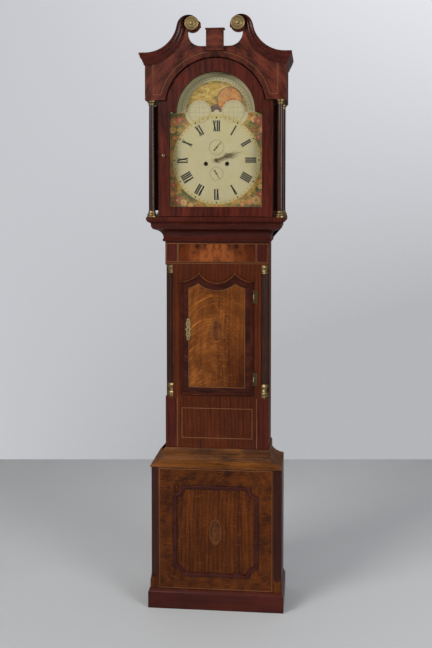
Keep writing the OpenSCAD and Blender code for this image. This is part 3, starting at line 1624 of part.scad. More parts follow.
plinth();
base_carcass();
base_panel_moulding();
shoulder_moulding();
trunk_carcass();
backboard();
quarter_columns();
quarter_column_brasses();
throat_moulding();
seatboard();
trunk_hinge_butts();
trunk_door();
trunk_door_brasses();
trunk_lock();
lock_bolt();
hood_carcass();
hood_front();
hood_cornice();
hood_columns();
hood_brasses();
hood_side_glass();
glass_door();
door_glass();
glass_door_brasses();
dial();
front_plate();
back_plate();
bell();
line_ends();
going_great_wheel();
going_barrel();
centre_wheel();
minute_hand();
minute_wheel();
hour_wheel();
hour_hand();
third_wheel();
escape_wheel();
seconds_hand();
strike_great_wheel();
strike_barrel();
pin_wheel();
gathering_wheel();
warning_wheel();
fly();
hammer();
rack();
rack_hook();
pallets();
pendulum_rod();
pendulum_bob();
rating_nut();
moon_disc();
date_hand();
going_weight();
strike_weight();
going_pulley();
strike_pulley();
going_line();
strike_line();
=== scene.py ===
"""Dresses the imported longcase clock: timber, veneers and strings, brasses, painted dial, glass and studio."""

import math
import random

import bmesh
import bpy
from bpy.props import FloatProperty, FloatVectorProperty, PointerProperty
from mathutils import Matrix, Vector


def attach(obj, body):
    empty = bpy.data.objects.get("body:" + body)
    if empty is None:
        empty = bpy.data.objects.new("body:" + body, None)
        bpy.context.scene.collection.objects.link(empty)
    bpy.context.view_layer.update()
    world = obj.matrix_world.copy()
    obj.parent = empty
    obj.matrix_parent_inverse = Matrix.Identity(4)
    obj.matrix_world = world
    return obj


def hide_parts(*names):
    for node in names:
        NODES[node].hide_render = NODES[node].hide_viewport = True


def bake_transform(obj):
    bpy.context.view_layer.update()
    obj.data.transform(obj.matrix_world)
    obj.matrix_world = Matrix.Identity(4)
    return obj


bl_info = {
    "name": "Longcase clock",
    "version": (1, 0, 0),
    "blender": (4, 5, 0),
    "location": "3D View > Sidebar > Clock",
    "description": "Dresses a longcase clock: timber, veneers, brasses, painted dial, glass and studio",
    "category": "Object",
}

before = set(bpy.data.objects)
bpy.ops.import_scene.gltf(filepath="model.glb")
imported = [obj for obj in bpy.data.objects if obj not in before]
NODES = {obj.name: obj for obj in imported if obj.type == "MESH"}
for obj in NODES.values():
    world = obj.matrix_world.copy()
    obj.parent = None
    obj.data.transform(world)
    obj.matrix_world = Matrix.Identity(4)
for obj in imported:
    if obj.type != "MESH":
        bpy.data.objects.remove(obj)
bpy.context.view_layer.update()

# Places on the CAD's pieces, in metres.
DIAL_CENTRE = 1.700
ARCH_CENTRE = 1.880
DIAL_FACE = -0.0625
DIAL_SIDE, DIAL_FOOT = 0.1765, 1.5235
HUMP_X, HUMP_Z = 0.064, 1.879
SECONDS_Z, DATE_Z = DIAL_CENTRE + 0.048, DIAL_CENTRE - 0.050
MOON_FACE = -0.0599
TRUNK_FACE = -0.0485
BASE_FACE = -0.1005
FRIEZE_FACE = -0.1135
DOOR_PANEL = -0.0555
DOOR_MIDDLE, BASE_MIDDLE = 1.057, 0.298
LOCK_X, LOCK_Z, LOCK_FACE = -0.1085, 1.060, -0.0570
FRIEZE_LOW, FRIEZE_HIGH = 1.318, 1.384
STILE_LOW, STILE_HIGH = 1.5115, 1.902
LINE_TOP, LINE_HELD, LINE_FOOT, LINE_Y = 1.6415, 1.641, 1.5750, 0.0003
LINE_X, PULLEY_RADIUS = 0.040, 0.02595

# Grain of a timber: how often the pattern repeats along X, Y and Z.
UPRIGHT, LEVEL = (230, 230, 9), (9, 230, 230)


def colour(name, description, value):
    """A colour setting with its default."""
    return FloatVectorProperty(
        name=name, description=description, subtype="COLOR", size=4, min=0, max=1, default=(*value, 1)
    )


def length(name, description, value, low, high):
    """A length setting in metres."""
    return FloatProperty(
        name=name, description=description, subtype="DISTANCE", unit="LENGTH", default=value, min=low,
        max=high,
    )


class ClockFinish(bpy.types.PropertyGroup):
    """Colours of the clock's woods, metals and paints."""

    mahogany_light: colour("Mahogany, light", "Lighter figure of the mahogany", (0.080, 0.0125, 0.0062))
    mahogany_dark: colour("Mahogany, dark", "Darker figure of the mahogany", (0.022, 0.0036, 0.0024))
    flame_light: colour("Flame veneer, light", "Light figure of the flame veneer", (0.225, 0.062, 0.015))
    oak_light: colour("Oak, light", "Light figure of the door panel's oak", (0.210, 0.067, 0.0115))
    oak_dark: colour("Oak, dark", "Dark figure of the door panel's oak", (0.088, 0.024, 0.006))
    string_wood: colour("String", "Light wood of the inlaid strings", (0.20, 0.09, 0.036))
    ebonised: colour("Columns", "Darkened wood of the columns", (0.052, 0.0165, 0.0085))
    brass: colour("Brass", "Old lacquered brass", (0.33, 0.245, 0.115))
    enamel: colour("Dial", "Yellowed white of the painted dial", (0.375, 0.325, 0.194))
    ink: colour("Numerals", "Black paint of the numerals", (0.017, 0.0155, 0.012))
    sky: colour("Moon disc", "Golden ground of the moon disc", (0.40, 0.21, 0.045))


class ClockDial(bpy.types.PropertyGroup):
    """Sizes of what is painted on the dial."""

    circle: length("Outer circle", "Radius of the circle round the numerals", 0.1655, 0.15, 0.17)
    numeral_foot: length("Numeral foot", "Radius of the inner ends of the numerals", 0.1085, 0.09, 0.12)
    numeral_height: length("Numeral height", "Height of the Roman numerals", 0.0395, 0.03, 0.045)
    stroke: length("Stroke", "Width of a thick stroke of a numeral", 0.0056, 0.003, 0.007)
    dots: length("Minute dots", "Radius of the ring of minute dots", 0.1595, 0.15, 0.165)
    lunar_high: length("Lunar ring, outer", "Outer radius of the ring of the moon's age", 0.146, 0.14, 0.15)


class ClockStage(bpy.types.PropertyGroup):
    """Camera and light."""

    eye: length("Eye height", "Height of the camera", 1.571, 0.5, 3.0)
    distance: length("Distance", "Distance of the camera from the clock", 3.56, 1.0, 9.0)
    swing: FloatProperty(name="Swing", description="Camera's turn to the viewer's right", subtype="ANGLE",
                         default=math.radians(6), min=-1.0, max=1.0)
    pitch: FloatProperty(name="Pitch", description="Camera's tilt down", subtype="ANGLE",
                         default=math.radians(2.5), min=0.0, max=0.3)
    key: FloatProperty(name="Key light", description="Strength of the large left lamp", default=205, min=0)
    fill: FloatProperty(name="Fill light", description="Strength of the right lamp", default=130, min=0)


# Node helpers


def plug(tree, socket, value):
    """Links a socket to an input or sets the input; a colour may leave out its alpha."""
    if isinstance(value, bpy.types.NodeSocket):
        tree.links.new(value, socket)
    elif socket.type == "RGBA" and len(value) == 3:
        socket.default_value = (*value, 1)
    else:
        socket.default_value = value


def put(tree, kind, inputs=None, **settings):
    """Adds a node, sets its properties, and fills or links its inputs."""
    node = tree.nodes.new(kind)
    for key, value in settings.items():
        setattr(node, key, value)
    for key, value in (inputs or {}).items():
        plug(tree, node.inputs[key], value)
    return node


def feed(tree, node, **values):
    """Fills or links a node's inputs; underscores in names stand for spaces."""
    for key, value in values.items():
        plug(tree, node.inputs[key.replace("_", " ")], value)


def ramp(tree, factor, *stops):
    """A colour ramp; each stop is a place and a grey level."""
    node = put(tree, "ShaderNodeValToRGB", {"Fac": factor})
    band = node.color_ramp
    while len(band.elements) < len(stops):
        band.elements.new(0.5)
    for element, (place_on, level) in zip(band.elements, stops):
        element.position = place_on
        element.color = (level, level, level, 1)
    return node.outputs["Color"]


def fade(tree, factor, black, white):
    """Runs from black at one place to white at the other."""
    return ramp(tree, factor, *sorted(((black, 0.0), (white, 1.0))))


def mix(tree, factor, a, b, mode="MIX"):
    """Mixes two colours."""
    return put(tree, "ShaderNodeMix", {0: factor, 6: a, 7: b}, data_type="RGBA", blend_type=mode).outputs[2]


def shade(tree, factor, a, tint):
    """Multiplies a colour by a tint as far as the factor says."""
    return mix(tree, factor, a, tint, "MULTIPLY")


def calc(tree, operation, a, b=0.0, c=0.0):
    """One Math node."""
    return put(tree, "ShaderNodeMath", {0: a, 1: b, 2: c}, operation=operation).outputs[0]


def times(tree, a, b):
    """A product."""
    return calc(tree, "MULTIPLY", a, b)


def scaled(tree, a, factor, shift):
    """A value times a factor, plus a shift."""
    return calc(tree, "MULTIPLY_ADD", a, factor, shift)


def noise(tree, vector, scale, detail, rough=0.5, distortion=0.0):
    """A noise texture's value."""
    return put(tree, "ShaderNodeTexNoise", {
        "Vector": vector, "Scale": scale, "Detail": detail, "Roughness": rough, "Distortion": distortion,
    }).outputs["Fac"]


def mapped(tree, vector, **values):
    """A vector turned, moved or scaled."""
    node = put(tree, "ShaderNodeMapping", {"Vector": vector})
    feed(tree, node, **values)
    return node.outputs[0]


def spot_on(tree, kind="Object"):
    """The place on the piece, or another of its coordinates."""
    return put(tree, "ShaderNodeTexCoord").outputs[kind]


def axes(tree, vector=None):
    """The X, Y and Z of a vector, by default of the place on the piece."""
    vector = spot_on(tree) if vector is None else vector
    return put(tree, "ShaderNodeSeparateXYZ", {"Vector": vector}).outputs


def bump(tree, strength, distance, height, **rest):
    """A bump's normal."""
    node = put(tree, "ShaderNodeBump", {"Strength": strength, "Distance": distance, "Height": height, **rest})
    return node.outputs[0]


def group(name, inputs, outputs):
    """An empty shader node group: its tree, what it is given, and the node that its results go into."""
    tree = bpy.data.node_groups.new(name, "ShaderNodeTree")
    for label, default in inputs.items():
        kind = "Float" if isinstance(default, float) else "Vector" if label == "Grain" else "Color"
        socket = tree.interface.new_socket(label, in_out="INPUT", socket_type="NodeSocket" + kind)
        socket.default_value = (*default, 1) if kind == "Color" else default
    for label in outputs:
        kind = {"Color": "Color", "Normal": "Vector"}.get(label, "Float")
        tree.interface.new_socket(label, in_out="OUTPUT", socket_type="NodeSocket" + kind)
    return tree, put(tree, "NodeGroupInput").outputs, put(tree, "NodeGroupOutput")


def place(tree, name, **values):
    """Places a node group in a material."""
    node = put(tree, "ShaderNodeGroup", node_tree=bpy.data.node_groups[name])
    feed(tree, node, **values)
    return node.outputs


def material(name, metallic=0.0, gloss=0.5):
    """A material with its Principled shader; gives the material, its tree and the shader."""
    made = bpy.data.materials.new(name)
    made.use_nodes = True
    shader = made.node_tree.nodes["Principled BSDF"]
    feed(made.node_tree, shader, Specular_IOR_Level=gloss, Metallic=metallic, IOR=1.45)
    return made, made.node_tree, shader


def surface(made, shader):
    """Makes a shader node the material's surface."""
    made.node_tree.links.new(shader.outputs[0], made.node_tree.nodes["Material Output"].inputs["Surface"])
    return made


# Shared effects


def swept(tree, given):
    """The place on the piece, mirrored about the clock's middle and bent upwards, as in matched veneers."""
    spot = axes(tree)
    folded = calc(tree, "ABSOLUTE", spot["X"])
    across = put(tree, "ShaderNodeMix", {0: given["Mirror"], 2: spot["X"], 3: folded}).outputs[0]
    rise = calc(tree, "SUBTRACT", spot["Z"], given["Middle"])
    bend = times(tree, times(tree, folded, folded), given["Sweep"])
    whole = {"X": across, "Y": spot["Y"], "Z": calc(tree, "ADD", rise, bend)}
    return put(tree, "ShaderNodeCombineXYZ", whole).outputs[0]


def timber_group():
    """Grain, pores, broad figure and oak's ray flecks, from stretched noise along the grain."""
    tree, given, end = group(
        "Timber figure",
        {
            "Light": (0.2, 0.06, 0.03), "Dark": (0.04, 0.01, 0.006), "Grain": (60, 60, 3), "Figure": 0.6,
            "Fleck": 0.0, "Pores": 0.4, "Polish": 0.35, "Mirror": 0.0, "Sweep": 0.0, "Middle": 1.35,
        },
        ("Color", "Roughness", "Height"),
    )
    spot = swept(tree, given)
    along = mapped(tree, spot, Scale=given["Grain"])
    wander = times(tree, noise(tree, spot, 3.0, 3), 9.0)
    aside = put(tree, "ShaderNodeCombineXYZ", {"X": wander}).outputs[0]
    bent = put(tree, "ShaderNodeVectorMath", {0: along, 1: aside}, operation="ADD").outputs[0]
    fibre = noise(tree, bent, 1.0, 8, 0.62, 0.6)
    broad = noise(tree, along, 0.11, 3, 0.5, 1.2)
    rings = put(tree, "ShaderNodeTexWave", {
        "Vector": bent, "Scale": 0.10, "Distortion": 6.0, "Detail": 3.0, "Detail Scale": 1.2,
    }, wave_type="BANDS", bands_direction="X").outputs["Fac"]
    plain = scaled(tree, fibre, 0.86, times(tree, rings, 0.14))
    figured = scaled(tree, calc(tree, "SUBTRACT", broad, 0.5), given["Figure"], plain)
    body = mix(tree, fade(tree, figured, 0.28, 0.74), given["Dark"], given["Light"])
    pore = fade(tree, noise(tree, along, 3.4, 4, 0.7), 0.47, 0.36)
    pored = mix(tree, times(tree, pore, given["Pores"]), body, given["Dark"])
    crossed = mapped(tree, spot, Scale=(48, 48, 330))
    rays = fade(tree, noise(tree, crossed, 1.0, 3, 0.6, 1.6), 0.56, 0.66)
    bright = shade(tree, 1.0, given["Light"], (2.1, 2.2, 2.2))
    feed(
        tree, end, Color=mix(tree, times(tree, rays, given["Fleck"]), pored, bright),
        Roughness=scaled(tree, noise(tree, spot_on(tree), 9.0, 4), 0.22, given["Polish"]),
        Height=scaled(tree, pore, -0.8, fibre),
    )


def edge_group():
    """Softened edges, lightened towards an edge colour as rubbed polish and as a painted highlight, with random
    patches of dirt, and painted shade darkening the hollows of the surface.
    """
    tree, given, end = group(
        "Rubbed edges",
        {
            "Color": (0.5, 0.5, 0.5), "Height": 0.0, "Depth": 0.25, "Edge colour": (0.3, 0.12, 0.05),
            "Edge": 0.5, "Grime": 0.5, "Radius": 0.0016, "Hollow": 0.012,
        },
        ("Color", "Normal"),
    )
    bevel = put(tree, "ShaderNodeBevel", {"Radius": given["Radius"]}, samples=6).outputs[0]
    flat = put(tree, "ShaderNodeNewGeometry").outputs["Normal"]
    facing = put(tree, "ShaderNodeVectorMath", {0: bevel, 1: flat}, operation="DOT_PRODUCT").outputs["Value"]
    edge = fade(tree, facing, 0.985, 0.88)
    spot = spot_on(tree)
    patchy = fade(tree, noise(tree, spot, 26.0, 5, 0.65), 0.42, 0.6)
    # Edges lighten towards the edge colour: partly worn polish, partly a painted highlight.
    rubbed_and_highlit = times(tree, times(tree, edge, patchy), given["Edge"])
    dirt = fade(tree, noise(tree, spot, 5.5, 6, 0.62), 0.62, 0.38)
    grimed = shade(tree, times(tree, dirt, given["Grime"]), given["Color"], (0.45, 0.40, 0.36))
    # Painted shade: ambient occlusion darkens the hollows and grooves of the surface.
    hollow_occlusion = put(tree, "ShaderNodeAmbientOcclusion", {"Distance": given["Hollow"]}, samples=6).outputs["AO"]
    painted_hollow_shade = shade(tree, fade(tree, hollow_occlusion, 0.80, 0.30), grimed, (0.26, 0.22, 0.21))
    feed(
        tree, end, Color=mix(tree, rubbed_and_highlit, painted_hollow_shade, given["Edge colour"]),
        Normal=bump(tree, given["Depth"], 0.0004, given["Height"], Normal=bevel),
    )


def paint_group():
    """Old dial paint: yellowing, fine crazing and small rubbed spots."""
    tree, given, end = group(
        "Old paint",
        {"Color": (0.8, 0.7, 0.45), "Stain": (0.5, 0.36, 0.14), "Yellowing": 0.5, "Crazing": 0.4},
        ("Color", "Roughness", "Height"),
    )
    spot = spot_on(tree)
    cloud = fade(tree, noise(tree, spot, 14.0, 6, 0.6), 0.40, 0.68)
    stained = mix(tree, times(tree, cloud, given["Yellowing"]), given["Color"], given["Stain"])
    cells = put(tree, "ShaderNodeTexVoronoi", {"Vector": spot, "Scale": 190.0, "Randomness": 1.0},
                feature="DISTANCE_TO_EDGE")
    line = fade(tree, cells.outputs["Distance"], 0.035, 0.0)
    patch = fade(tree, noise(tree, spot, 22.0, 3), 0.45, 0.62)
    crazed = times(tree, times(tree, line, patch), given["Crazing"])
    chips = fade(tree, noise(tree, spot, 120.0, 3, 0.7), 0.70, 0.76)
    worn = mix(tree, times(tree, chips, given["Crazing"]), stained, given["Stain"])
    feed(
        tree, end, Color=mix(tree, crazed, worn, (0.16, 0.11, 0.05)),
        Roughness=scaled(tree, cloud, 0.18, 0.34), Height=times(tree, crazed, -1.0),
    )


def brush_group():
    """Three paints laid over one another in soft brush strokes."""
    tree, given, end = group(
        "Brush work",
        {"First": (0.5, 0.3, 0.1), "Second": (0.2, 0.2, 0.05), "Third": (0.5, 0.1, 0.05), "Size": 28.0},
        ("Color",),
    )
    tilted = mapped(tree, spot_on(tree), Rotation=(0, 0.6, 0), Scale=(1, 1, 2.2))
    wide = fade(tree, noise(tree, tilted, given["Size"], 4, 0.6, 0.8), 0.42, 0.58)
    moved = mapped(tree, tilted, Location=(3.1, 1.7, 5.3))
    fine = noise(tree, moved, times(tree, given["Size"], 1.9), 5, 0.65, 1.2)
    two = mix(tree, wide, given["First"], given["Second"])
    feed(tree, end, Color=mix(tree, fade(tree, fine, 0.5, 0.62), two, given["Third"]))


def brass_group():
    """Old brass: browned patches between bright ones, with a fine grain."""
    tree, given, end = group(
        "Old brass", {"Color": (0.6, 0.4, 0.15), "Tarnish": (0.12, 0.07, 0.03), "Age": 0.6},
        ("Color", "Roughness", "Height"),
    )
    spot = spot_on(tree)
    patches = fade(tree, noise(tree, spot, 30.0, 5, 0.55), 0.80, 0.25)
    fine = noise(tree, spot, 900.0, 3)
    feed(
        tree, end, Color=mix(tree, times(tree, patches, given["Age"]), given["Color"], given["Tarnish"]),
        Roughness=scaled(tree, patches, 0.2, scaled(tree, fine, 0.10, 0.27)), Height=fine,
    )


# Materials


def timber(name, light, dark, grain, figure=0.6, fleck=0.0, pores=0.4, polish=0.3, rub=0.5,
           grime=0.5, edge=(0.16, 0.06, 0.026), coat=0.06, mirror=0.0, sweep=0.0, middle=1.35, depth=0.16,
           soft=0.0016):
    """A polished timber."""
    made, tree, shader = material(name, gloss=0.10)
    wood = place(tree, "Timber figure", Light=light, Dark=dark, Grain=grain, Figure=figure, Fleck=fleck,
                 Pores=pores, Polish=polish, Mirror=mirror, Sweep=sweep, Middle=middle)
    # The edges take the edge colour, partly as worn polish and partly as a painted highlight, and the hollows
    # get painted shade.
    edges = place(tree, "Rubbed edges", Color=wood["Color"], Height=wood["Height"], Depth=depth,
                  Edge_colour=edge, Edge=rub, Grime=grime, Radius=soft)
    feed(tree, shader, Base_Color=edges["Color"], Roughness=wood["Roughness"], Normal=edges["Normal"],
         Coat_Weight=coat, Coat_Roughness=0.22)
    return made


def painted(name, base, stain=(0.34, 0.285, 0.12), yellowing=0.55, crazing=0.45):
    """A painted surface of the dial."""
    made, tree, shader = material(name)
    paint = place(tree, "Old paint", Color=base, Stain=stain, Yellowing=yellowing, Crazing=crazing)
    feed(tree, shader, Base_Color=paint["Color"], Roughness=paint["Roughness"],
         Normal=bump(tree, 0.3, 0.0002, paint["Height"]))
    return made


def brushed(name, first, second, third, size, crazing=0.3):
    """Picture paint on the dial."""
    made, tree, shader = material(name)
    brush = place(tree, "Brush work", First=first, Second=second, Third=third, Size=size)
    paint = place(tree, "Old paint", Color=brush["Color"], Stain=(0.20, 0.13, 0.05), Yellowing=0.35,
                  Crazing=crazing)
    feed(tree, shader, Base_Color=paint["Color"], Roughness=paint["Roughness"])
    return made


def metal(name, base, tarnish=(0.10, 0.06, 0.025), age=0.6):
    """An old metal."""
    made, tree, shader = material(name, metallic=1.0)
    brass = place(tree, "Old brass", Color=base, Tarnish=tarnish, Age=age)
    # Rubbed edges keep the bare metal colour, and painted shade darkens the grooves.
    edges = place(tree, "Rubbed edges", Color=brass["Color"], Height=brass["Height"], Depth=0.02,
                  Edge_colour=base, Edge=0.6, Grime=0.6, Radius=0.0005, Hollow=0.004)
    feed(tree, shader, Base_Color=edges["Color"], Roughness=brass["Roughness"], Normal=edges["Normal"])
    return made


def layered(made, mask, tint, mode="MIX", under_edges=True):
    """Lays a tint over a material where the mask says so, under its rubbed edges, painted highlight and shade,
    or over everything.
    """
    tree = made.node_tree
    node = tree.nodes["Principled BSDF"]
    if under_edges:
        node = next(n for n in tree.nodes if n.type == "GROUP" and n.node_tree.name == "Rubbed edges")
    socket = node.inputs["Color" if under_edges else "Base Color"]
    plug(tree, socket, mix(tree, mask, socket.links[0].from_socket, tint, mode))
    return made


def lipped(made, light, dark):
    """Turns the trunk door's lip and verges, which stand before or beside its panel, into moulding timber."""
    tree = made.node_tree
    rim = place(tree, "Timber figure", Light=light, Dark=dark, Grain=(90, 90, 90), Figure=0.3)
    spot = axes(tree)
    proud = calc(tree, "LESS_THAN", spot["Y"], DOOR_PANEL - 0.0004)
    verge = calc(tree, "GREATER_THAN", calc(tree, "ABSOLUTE", spot["X"]), 0.131)
    return layered(made, calc(tree, "MAXIMUM", proud, verge), rim["Color"])


def shaded(made, near, far, tint, lean=False):
    """Lets a timber darken from the clock's middle to its sides, or with lean to its lower right."""
    tree = made.node_tree
    spot = axes(tree)
    if lean:
        side = scaled(tree, spot["Z"], -0.25, scaled(tree, spot["X"], 0.6, 0.27))
    else:
        side = calc(tree, "ABSOLUTE", spot["X"])
    away = scaled(tree, noise(tree, spot_on(tree), 9.0, 4), 0.06, calc(tree, "SUBTRACT", side, 0.03))
    return layered(made, fade(tree, away, near, far), tint, "MULTIPLY")


def canted(made, light, dark):
    """Darkens the canted corners of the base."""
    tree = made.node_tree
    rim = place(tree, "Timber figure", Light=light, Dark=dark, Grain=UPRIGHT, Figure=0.3)
    sideways = calc(tree, "ABSOLUTE", axes(tree, spot_on(tree, "Normal"))["X"])
    return layered(made, calc(tree, "COMPARE", sideways, 0.7, 0.2), rim["Color"])


def rimmed(made, circle):
    """Lets the dial paint brown towards the edge of the hour circle."""
    tree = made.node_tree
    spot = axes(tree)
    rise = calc(tree, "SUBTRACT", spot["Z"], DIAL_CENTRE)
    square = calc(tree, "ADD", times(tree, spot["X"], spot["X"]), times(tree, rise, rise))
    away = calc(tree, "DIVIDE", calc(tree, "SQRT", square), circle * 2)
    edge = ramp(tree, away, (0.43, 0.0), (0.495, 0.5), (0.51, 0.5), (0.53, 0.0))
    return layered(made, edge, (0.36, 0.27, 0.075), under_edges=False)


def steel_ended(made, limit):
    """Turns the arbor ends in front of a limit to dark steel."""
    ahead = calc(made.node_tree, "LESS_THAN", axes(made.node_tree)["Y"], limit)
    return layered(made, ahead, (0.040, 0.036, 0.032), under_edges=False)


def glass_material():
    """Thin old glass: faintly wavy and slightly green."""
    made, tree, _ = material("Old glass")
    wave = noise(tree, spot_on(tree), 7.0, 2)
    normal = bump(tree, 0.12, 0.002, wave)
    tint = mix(tree, wave, (0.97, 0.985, 0.975), (1, 1, 1))
    clear = put(tree, "ShaderNodeBsdfTransparent", {"Color": tint})
    shine = put(tree, "ShaderNodeBsdfGlossy", {"Roughness": 0.04, "Normal": normal})
    share = put(tree, "ShaderNodeFresnel", {"IOR": 1.22, "Normal": normal})
    mixed = {0: share.outputs[0], 1: clear.outputs[0], 2: shine.outputs[0]}
    return surface(made, put(tree, "ShaderNodeMixShader", mixed))


def colour_of(name):
    """A finish colour as a plain tuple."""
    return tuple(getattr(bpy.context.scene.clock_finish, name))


# Geometry helpers


def settle(name, data, body=None):
    """Links new data as an object, which rides on its body if it has one."""
    piece = bpy.data.objects.new(name, data)
    bpy.context.scene.collection.objects.link(piece)
    if body:
        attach(piece, body)
    return piece


def finish_mesh(name, data, made, body=None, smooth=False):
    """Makes an object of a bmesh, with one material."""
    bmesh.ops.recalc_face_normals(data, faces=data.faces)
    mesh = bpy.data.meshes.new(name)
    data.to_mesh(mesh)
    data.free()
    mesh.materials.append(made)
    if smooth:
        mesh.shade_smooth()
    return settle(name, mesh, body)


def slab(data, outline, y_front, y_back, holes=()):
    """Adds a plate whose outline lies in the front plane, with its edge walls."""
    rings = []
    for line in (outline, *holes):
        front, back = ([data.verts.new((x, y, z)) for x, z in line] for y in (y_front, y_back))
        rings.append((front, back))
        for i in range(len(line)):
            j = (i + 1) % len(line)
            data.faces.new((front[i], front[j], back[j], back[i]))
    for side in (0, 1):
        edges = [
            data.edges.get((points[i], points[(i + 1) % len(points)]))
            for points in (ring[side] for ring in rings) for i in range(len(points))
        ]
        bmesh.ops.triangle_fill(data, use_beauty=True, use_dissolve=False, edges=edges)


def strip(data, points, width, y, closed=False, lift=0.00005):
    """Adds a flat line of even width along points in the front plane, as a very thin plate."""
    count = len(points)
    sides = []
    for i in range(count):
        before = Vector(points[i - 1] if closed or i else points[0])
        after = Vector(points[(i + 1) % count] if closed or i < count - 1 else points[-1])
        here = Vector(points[i])
        ahead = (after - here).normalized() if (after - here).length else (here - before).normalized()
        behind = (here - before).normalized() if (here - before).length else ahead
        mid = (ahead + behind).normalized() if (ahead + behind).length > 1e-6 else ahead
        normal = Vector((-mid.y, mid.x))
        reach = width / 2 / max(0.35, abs(normal.dot(Vector((-ahead.y, ahead.x)))))
        sides.append((here + normal * reach, here - normal * reach))
    front, back = ([[data.verts.new((p.x, at, p.y)) for p in pair] for pair in sides] for at in (y - lift, y))
    for i in range(count if closed else count - 1):
        (a, b), (d, c) = front[i], front[(i + 1) % count]
        (e, f), (h, g) = back[i], back[(i + 1) % count]
        for face in ((a, b, c, d), (e, h, g, f), (a, d, h, e), (b, f, g, c)):
            data.faces.new(face)
    if not closed:
        for i in (0, count - 1):
            data.faces.new((front[i][0], back[i][0], back[i][1], front[i][1]))


def oval(x, z, wide, high, steps, turn=0.0):
    """Points of an oval in the front plane, counter-clockwise from its top, turned clockwise."""
    rim = []
    for i in range(steps):
        angle = -math.tau * i / steps
        u, v = wide * math.sin(angle), high * math.cos(angle)
        rim.append((x + u * math.cos(turn) + v * math.sin(turn), z + v * math.cos(turn) - u * math.sin(turn)))
    return rim


def disc(data, x, z, wide, high, y, turn, steps, thick=0.0001):
    """Adds a thin oval plate."""
    slab(data, oval(x, z, wide, high, steps, turn), y - thick, y)


def arc(radius, start, stop, x, z, steps=48):
    """Points of an arc, clockwise angles from the top, in radians."""
    turns = [start + (stop - start) * i / steps for i in range(steps + 1)]
    return [(x + radius * math.sin(turn), z + radius * math.cos(turn)) for turn in turns]


def rectangle(left, right, low, high):
    """Four corners of a rectangle, counter-clockwise from the front."""
    return [(left, low), (right, low), (right, high), (left, high)]


def mirrored(points, side):
    """Points as they are for side 1, or mirrored about the middle of the clock for side -1."""
    return [(side * x, z) for x, z in points]


def spun(points, angle, centre=DIAL_CENTRE):
    """Turns points, given as sideways and outward distances, clockwise about a centre."""
    side, out = math.cos(angle), math.sin(angle)
    return [(u * side + v * out, centre + v * side - u * out) for u, v in points]


# Stage


def backdrop(name, low, high):
    """A studio paper with painted light, paler upwards and to the right; it glows with that tone to the camera,
    glows dark as a painted reflection to glossy rays, and catches light otherwise.
    """
    made, tree, shader = material(name)
    spot = axes(tree)
    # Painted light: the paper is paler upwards and to the right.
    level = calc(tree, "SUBTRACT", spot["Z"], 1.5)
    rise = scaled(tree, level, scaled(tree, spot["X"], 0.20, 0.28), 0.30)
    painted_light_gradient = mix(tree, fade(tree, rise, 0.0, 1.0), low, high)
    mottle = times(tree, noise(tree, spot_on(tree), 34, 6, 0.7), 0.09)
    paper = mix(tree, mottle, painted_light_gradient, (0.85, 0.86, 0.88))
    feed(tree, shader, Base_Color=paper, Roughness=0.9)
    rays = put(tree, "ShaderNodeLightPath").outputs
    # Painted reflection: glossy rays see the paper as a dark glow.
    glow_and_reflection_tone = mix(tree, rays["Is Glossy Ray"], paper, (0.13, 0.125, 0.125))
    painted_backdrop_glow = put(tree, "ShaderNodeEmission", {"Color": glow_and_reflection_tone, "Strength": 1.0})
    seen = calc(tree, "MAXIMUM", rays["Is Camera Ray"],
                calc(tree, "MAXIMUM", rays["Is Glossy Ray"], rays["Is Transmission Ray"]))
    front = put(tree, "ShaderNodeMixShader", {0: seen, 1: shader.outputs[0], 2: painted_backdrop_glow.outputs[0]})
    clear = put(tree, "ShaderNodeBsdfTransparent")
    behind = put(tree, "ShaderNodeNewGeometry").outputs["Backfacing"]
    both = {0: behind, 1: front.outputs[0], 2: clear.outputs[0]}
    return surface(made, put(tree, "ShaderNodeMixShader", both))


def floor_material():
    """A grey floor with painted light: a little paler to the right and darker towards the front."""
    made, tree, shader = material("Floor")
    speckle = mix(tree, noise(tree, spot_on(tree), 3.0, 5), (0.36, 0.365, 0.37), (0.39, 0.395, 0.40))
    spot = axes(tree)
    # Painted light: paler to the right, and darker towards the front below.
    right = fade(tree, scaled(tree, spot["X"], 0.35, 0.5), 0.1, 0.9)
    across = mix(tree, right, speckle, (0.44, 0.445, 0.45))
    ahead = ramp(tree, scaled(tree, spot["Y"], -0.5, 0.2), (0.0, 0.0), (1.0, 0.55))
    feed(tree, shader, Base_Color=mix(tree, ahead, across, (0.25, 0.255, 0.26)), Roughness=0.75)
    return made


def sheet_object(name, corners, made):
    """A flat backdrop piece."""
    mesh = bpy.data.meshes.new(name)
    mesh.from_pydata(corners, [], [(0, 1, 2, 3)])
    mesh.materials.append(made)
    piece = settle(name, mesh)
    return piece


def lamp(name, spot, power, width, height, tint):
    """A soft box aimed at the middle of the clock."""
    light = bpy.data.lights.new(name, "AREA")
    light.shape = "RECTANGLE"
    light.size, light.size_y = width, height
    light.energy, light.color = power, tint
    piece = settle(name, light)
    piece.location = spot
    piece.rotation_euler = (Vector((0, 0, 1.2)) - Vector(spot)).to_track_quat("-Z", "Y").to_euler()


def room_light(scene):
    """A room that is dark in front of the clock and pale behind and above it."""
    world = bpy.data.worlds.new("Studio")
    scene.world = world
    world.use_nodes = True
    tree = world.node_tree
    around = axes(tree, spot_on(tree, "Generated"))
    level = fade(tree, scaled(tree, around["Y"], 0.5, 0.5), 0.25, 0.75)
    room = mix(tree, level, (0.10, 0.10, 0.105), (0.62, 0.63, 0.65))
    lit = mix(tree, fade(tree, around["Z"], 0.2, 0.9), room, (0.75, 0.75, 0.76))
    seen = put(tree, "ShaderNodeLightPath").outputs["Is Camera Ray"]
    feed(tree, tree.nodes["Background"], Color=mix(tree, seen, lit, (0.60, 0.61, 0.63)))


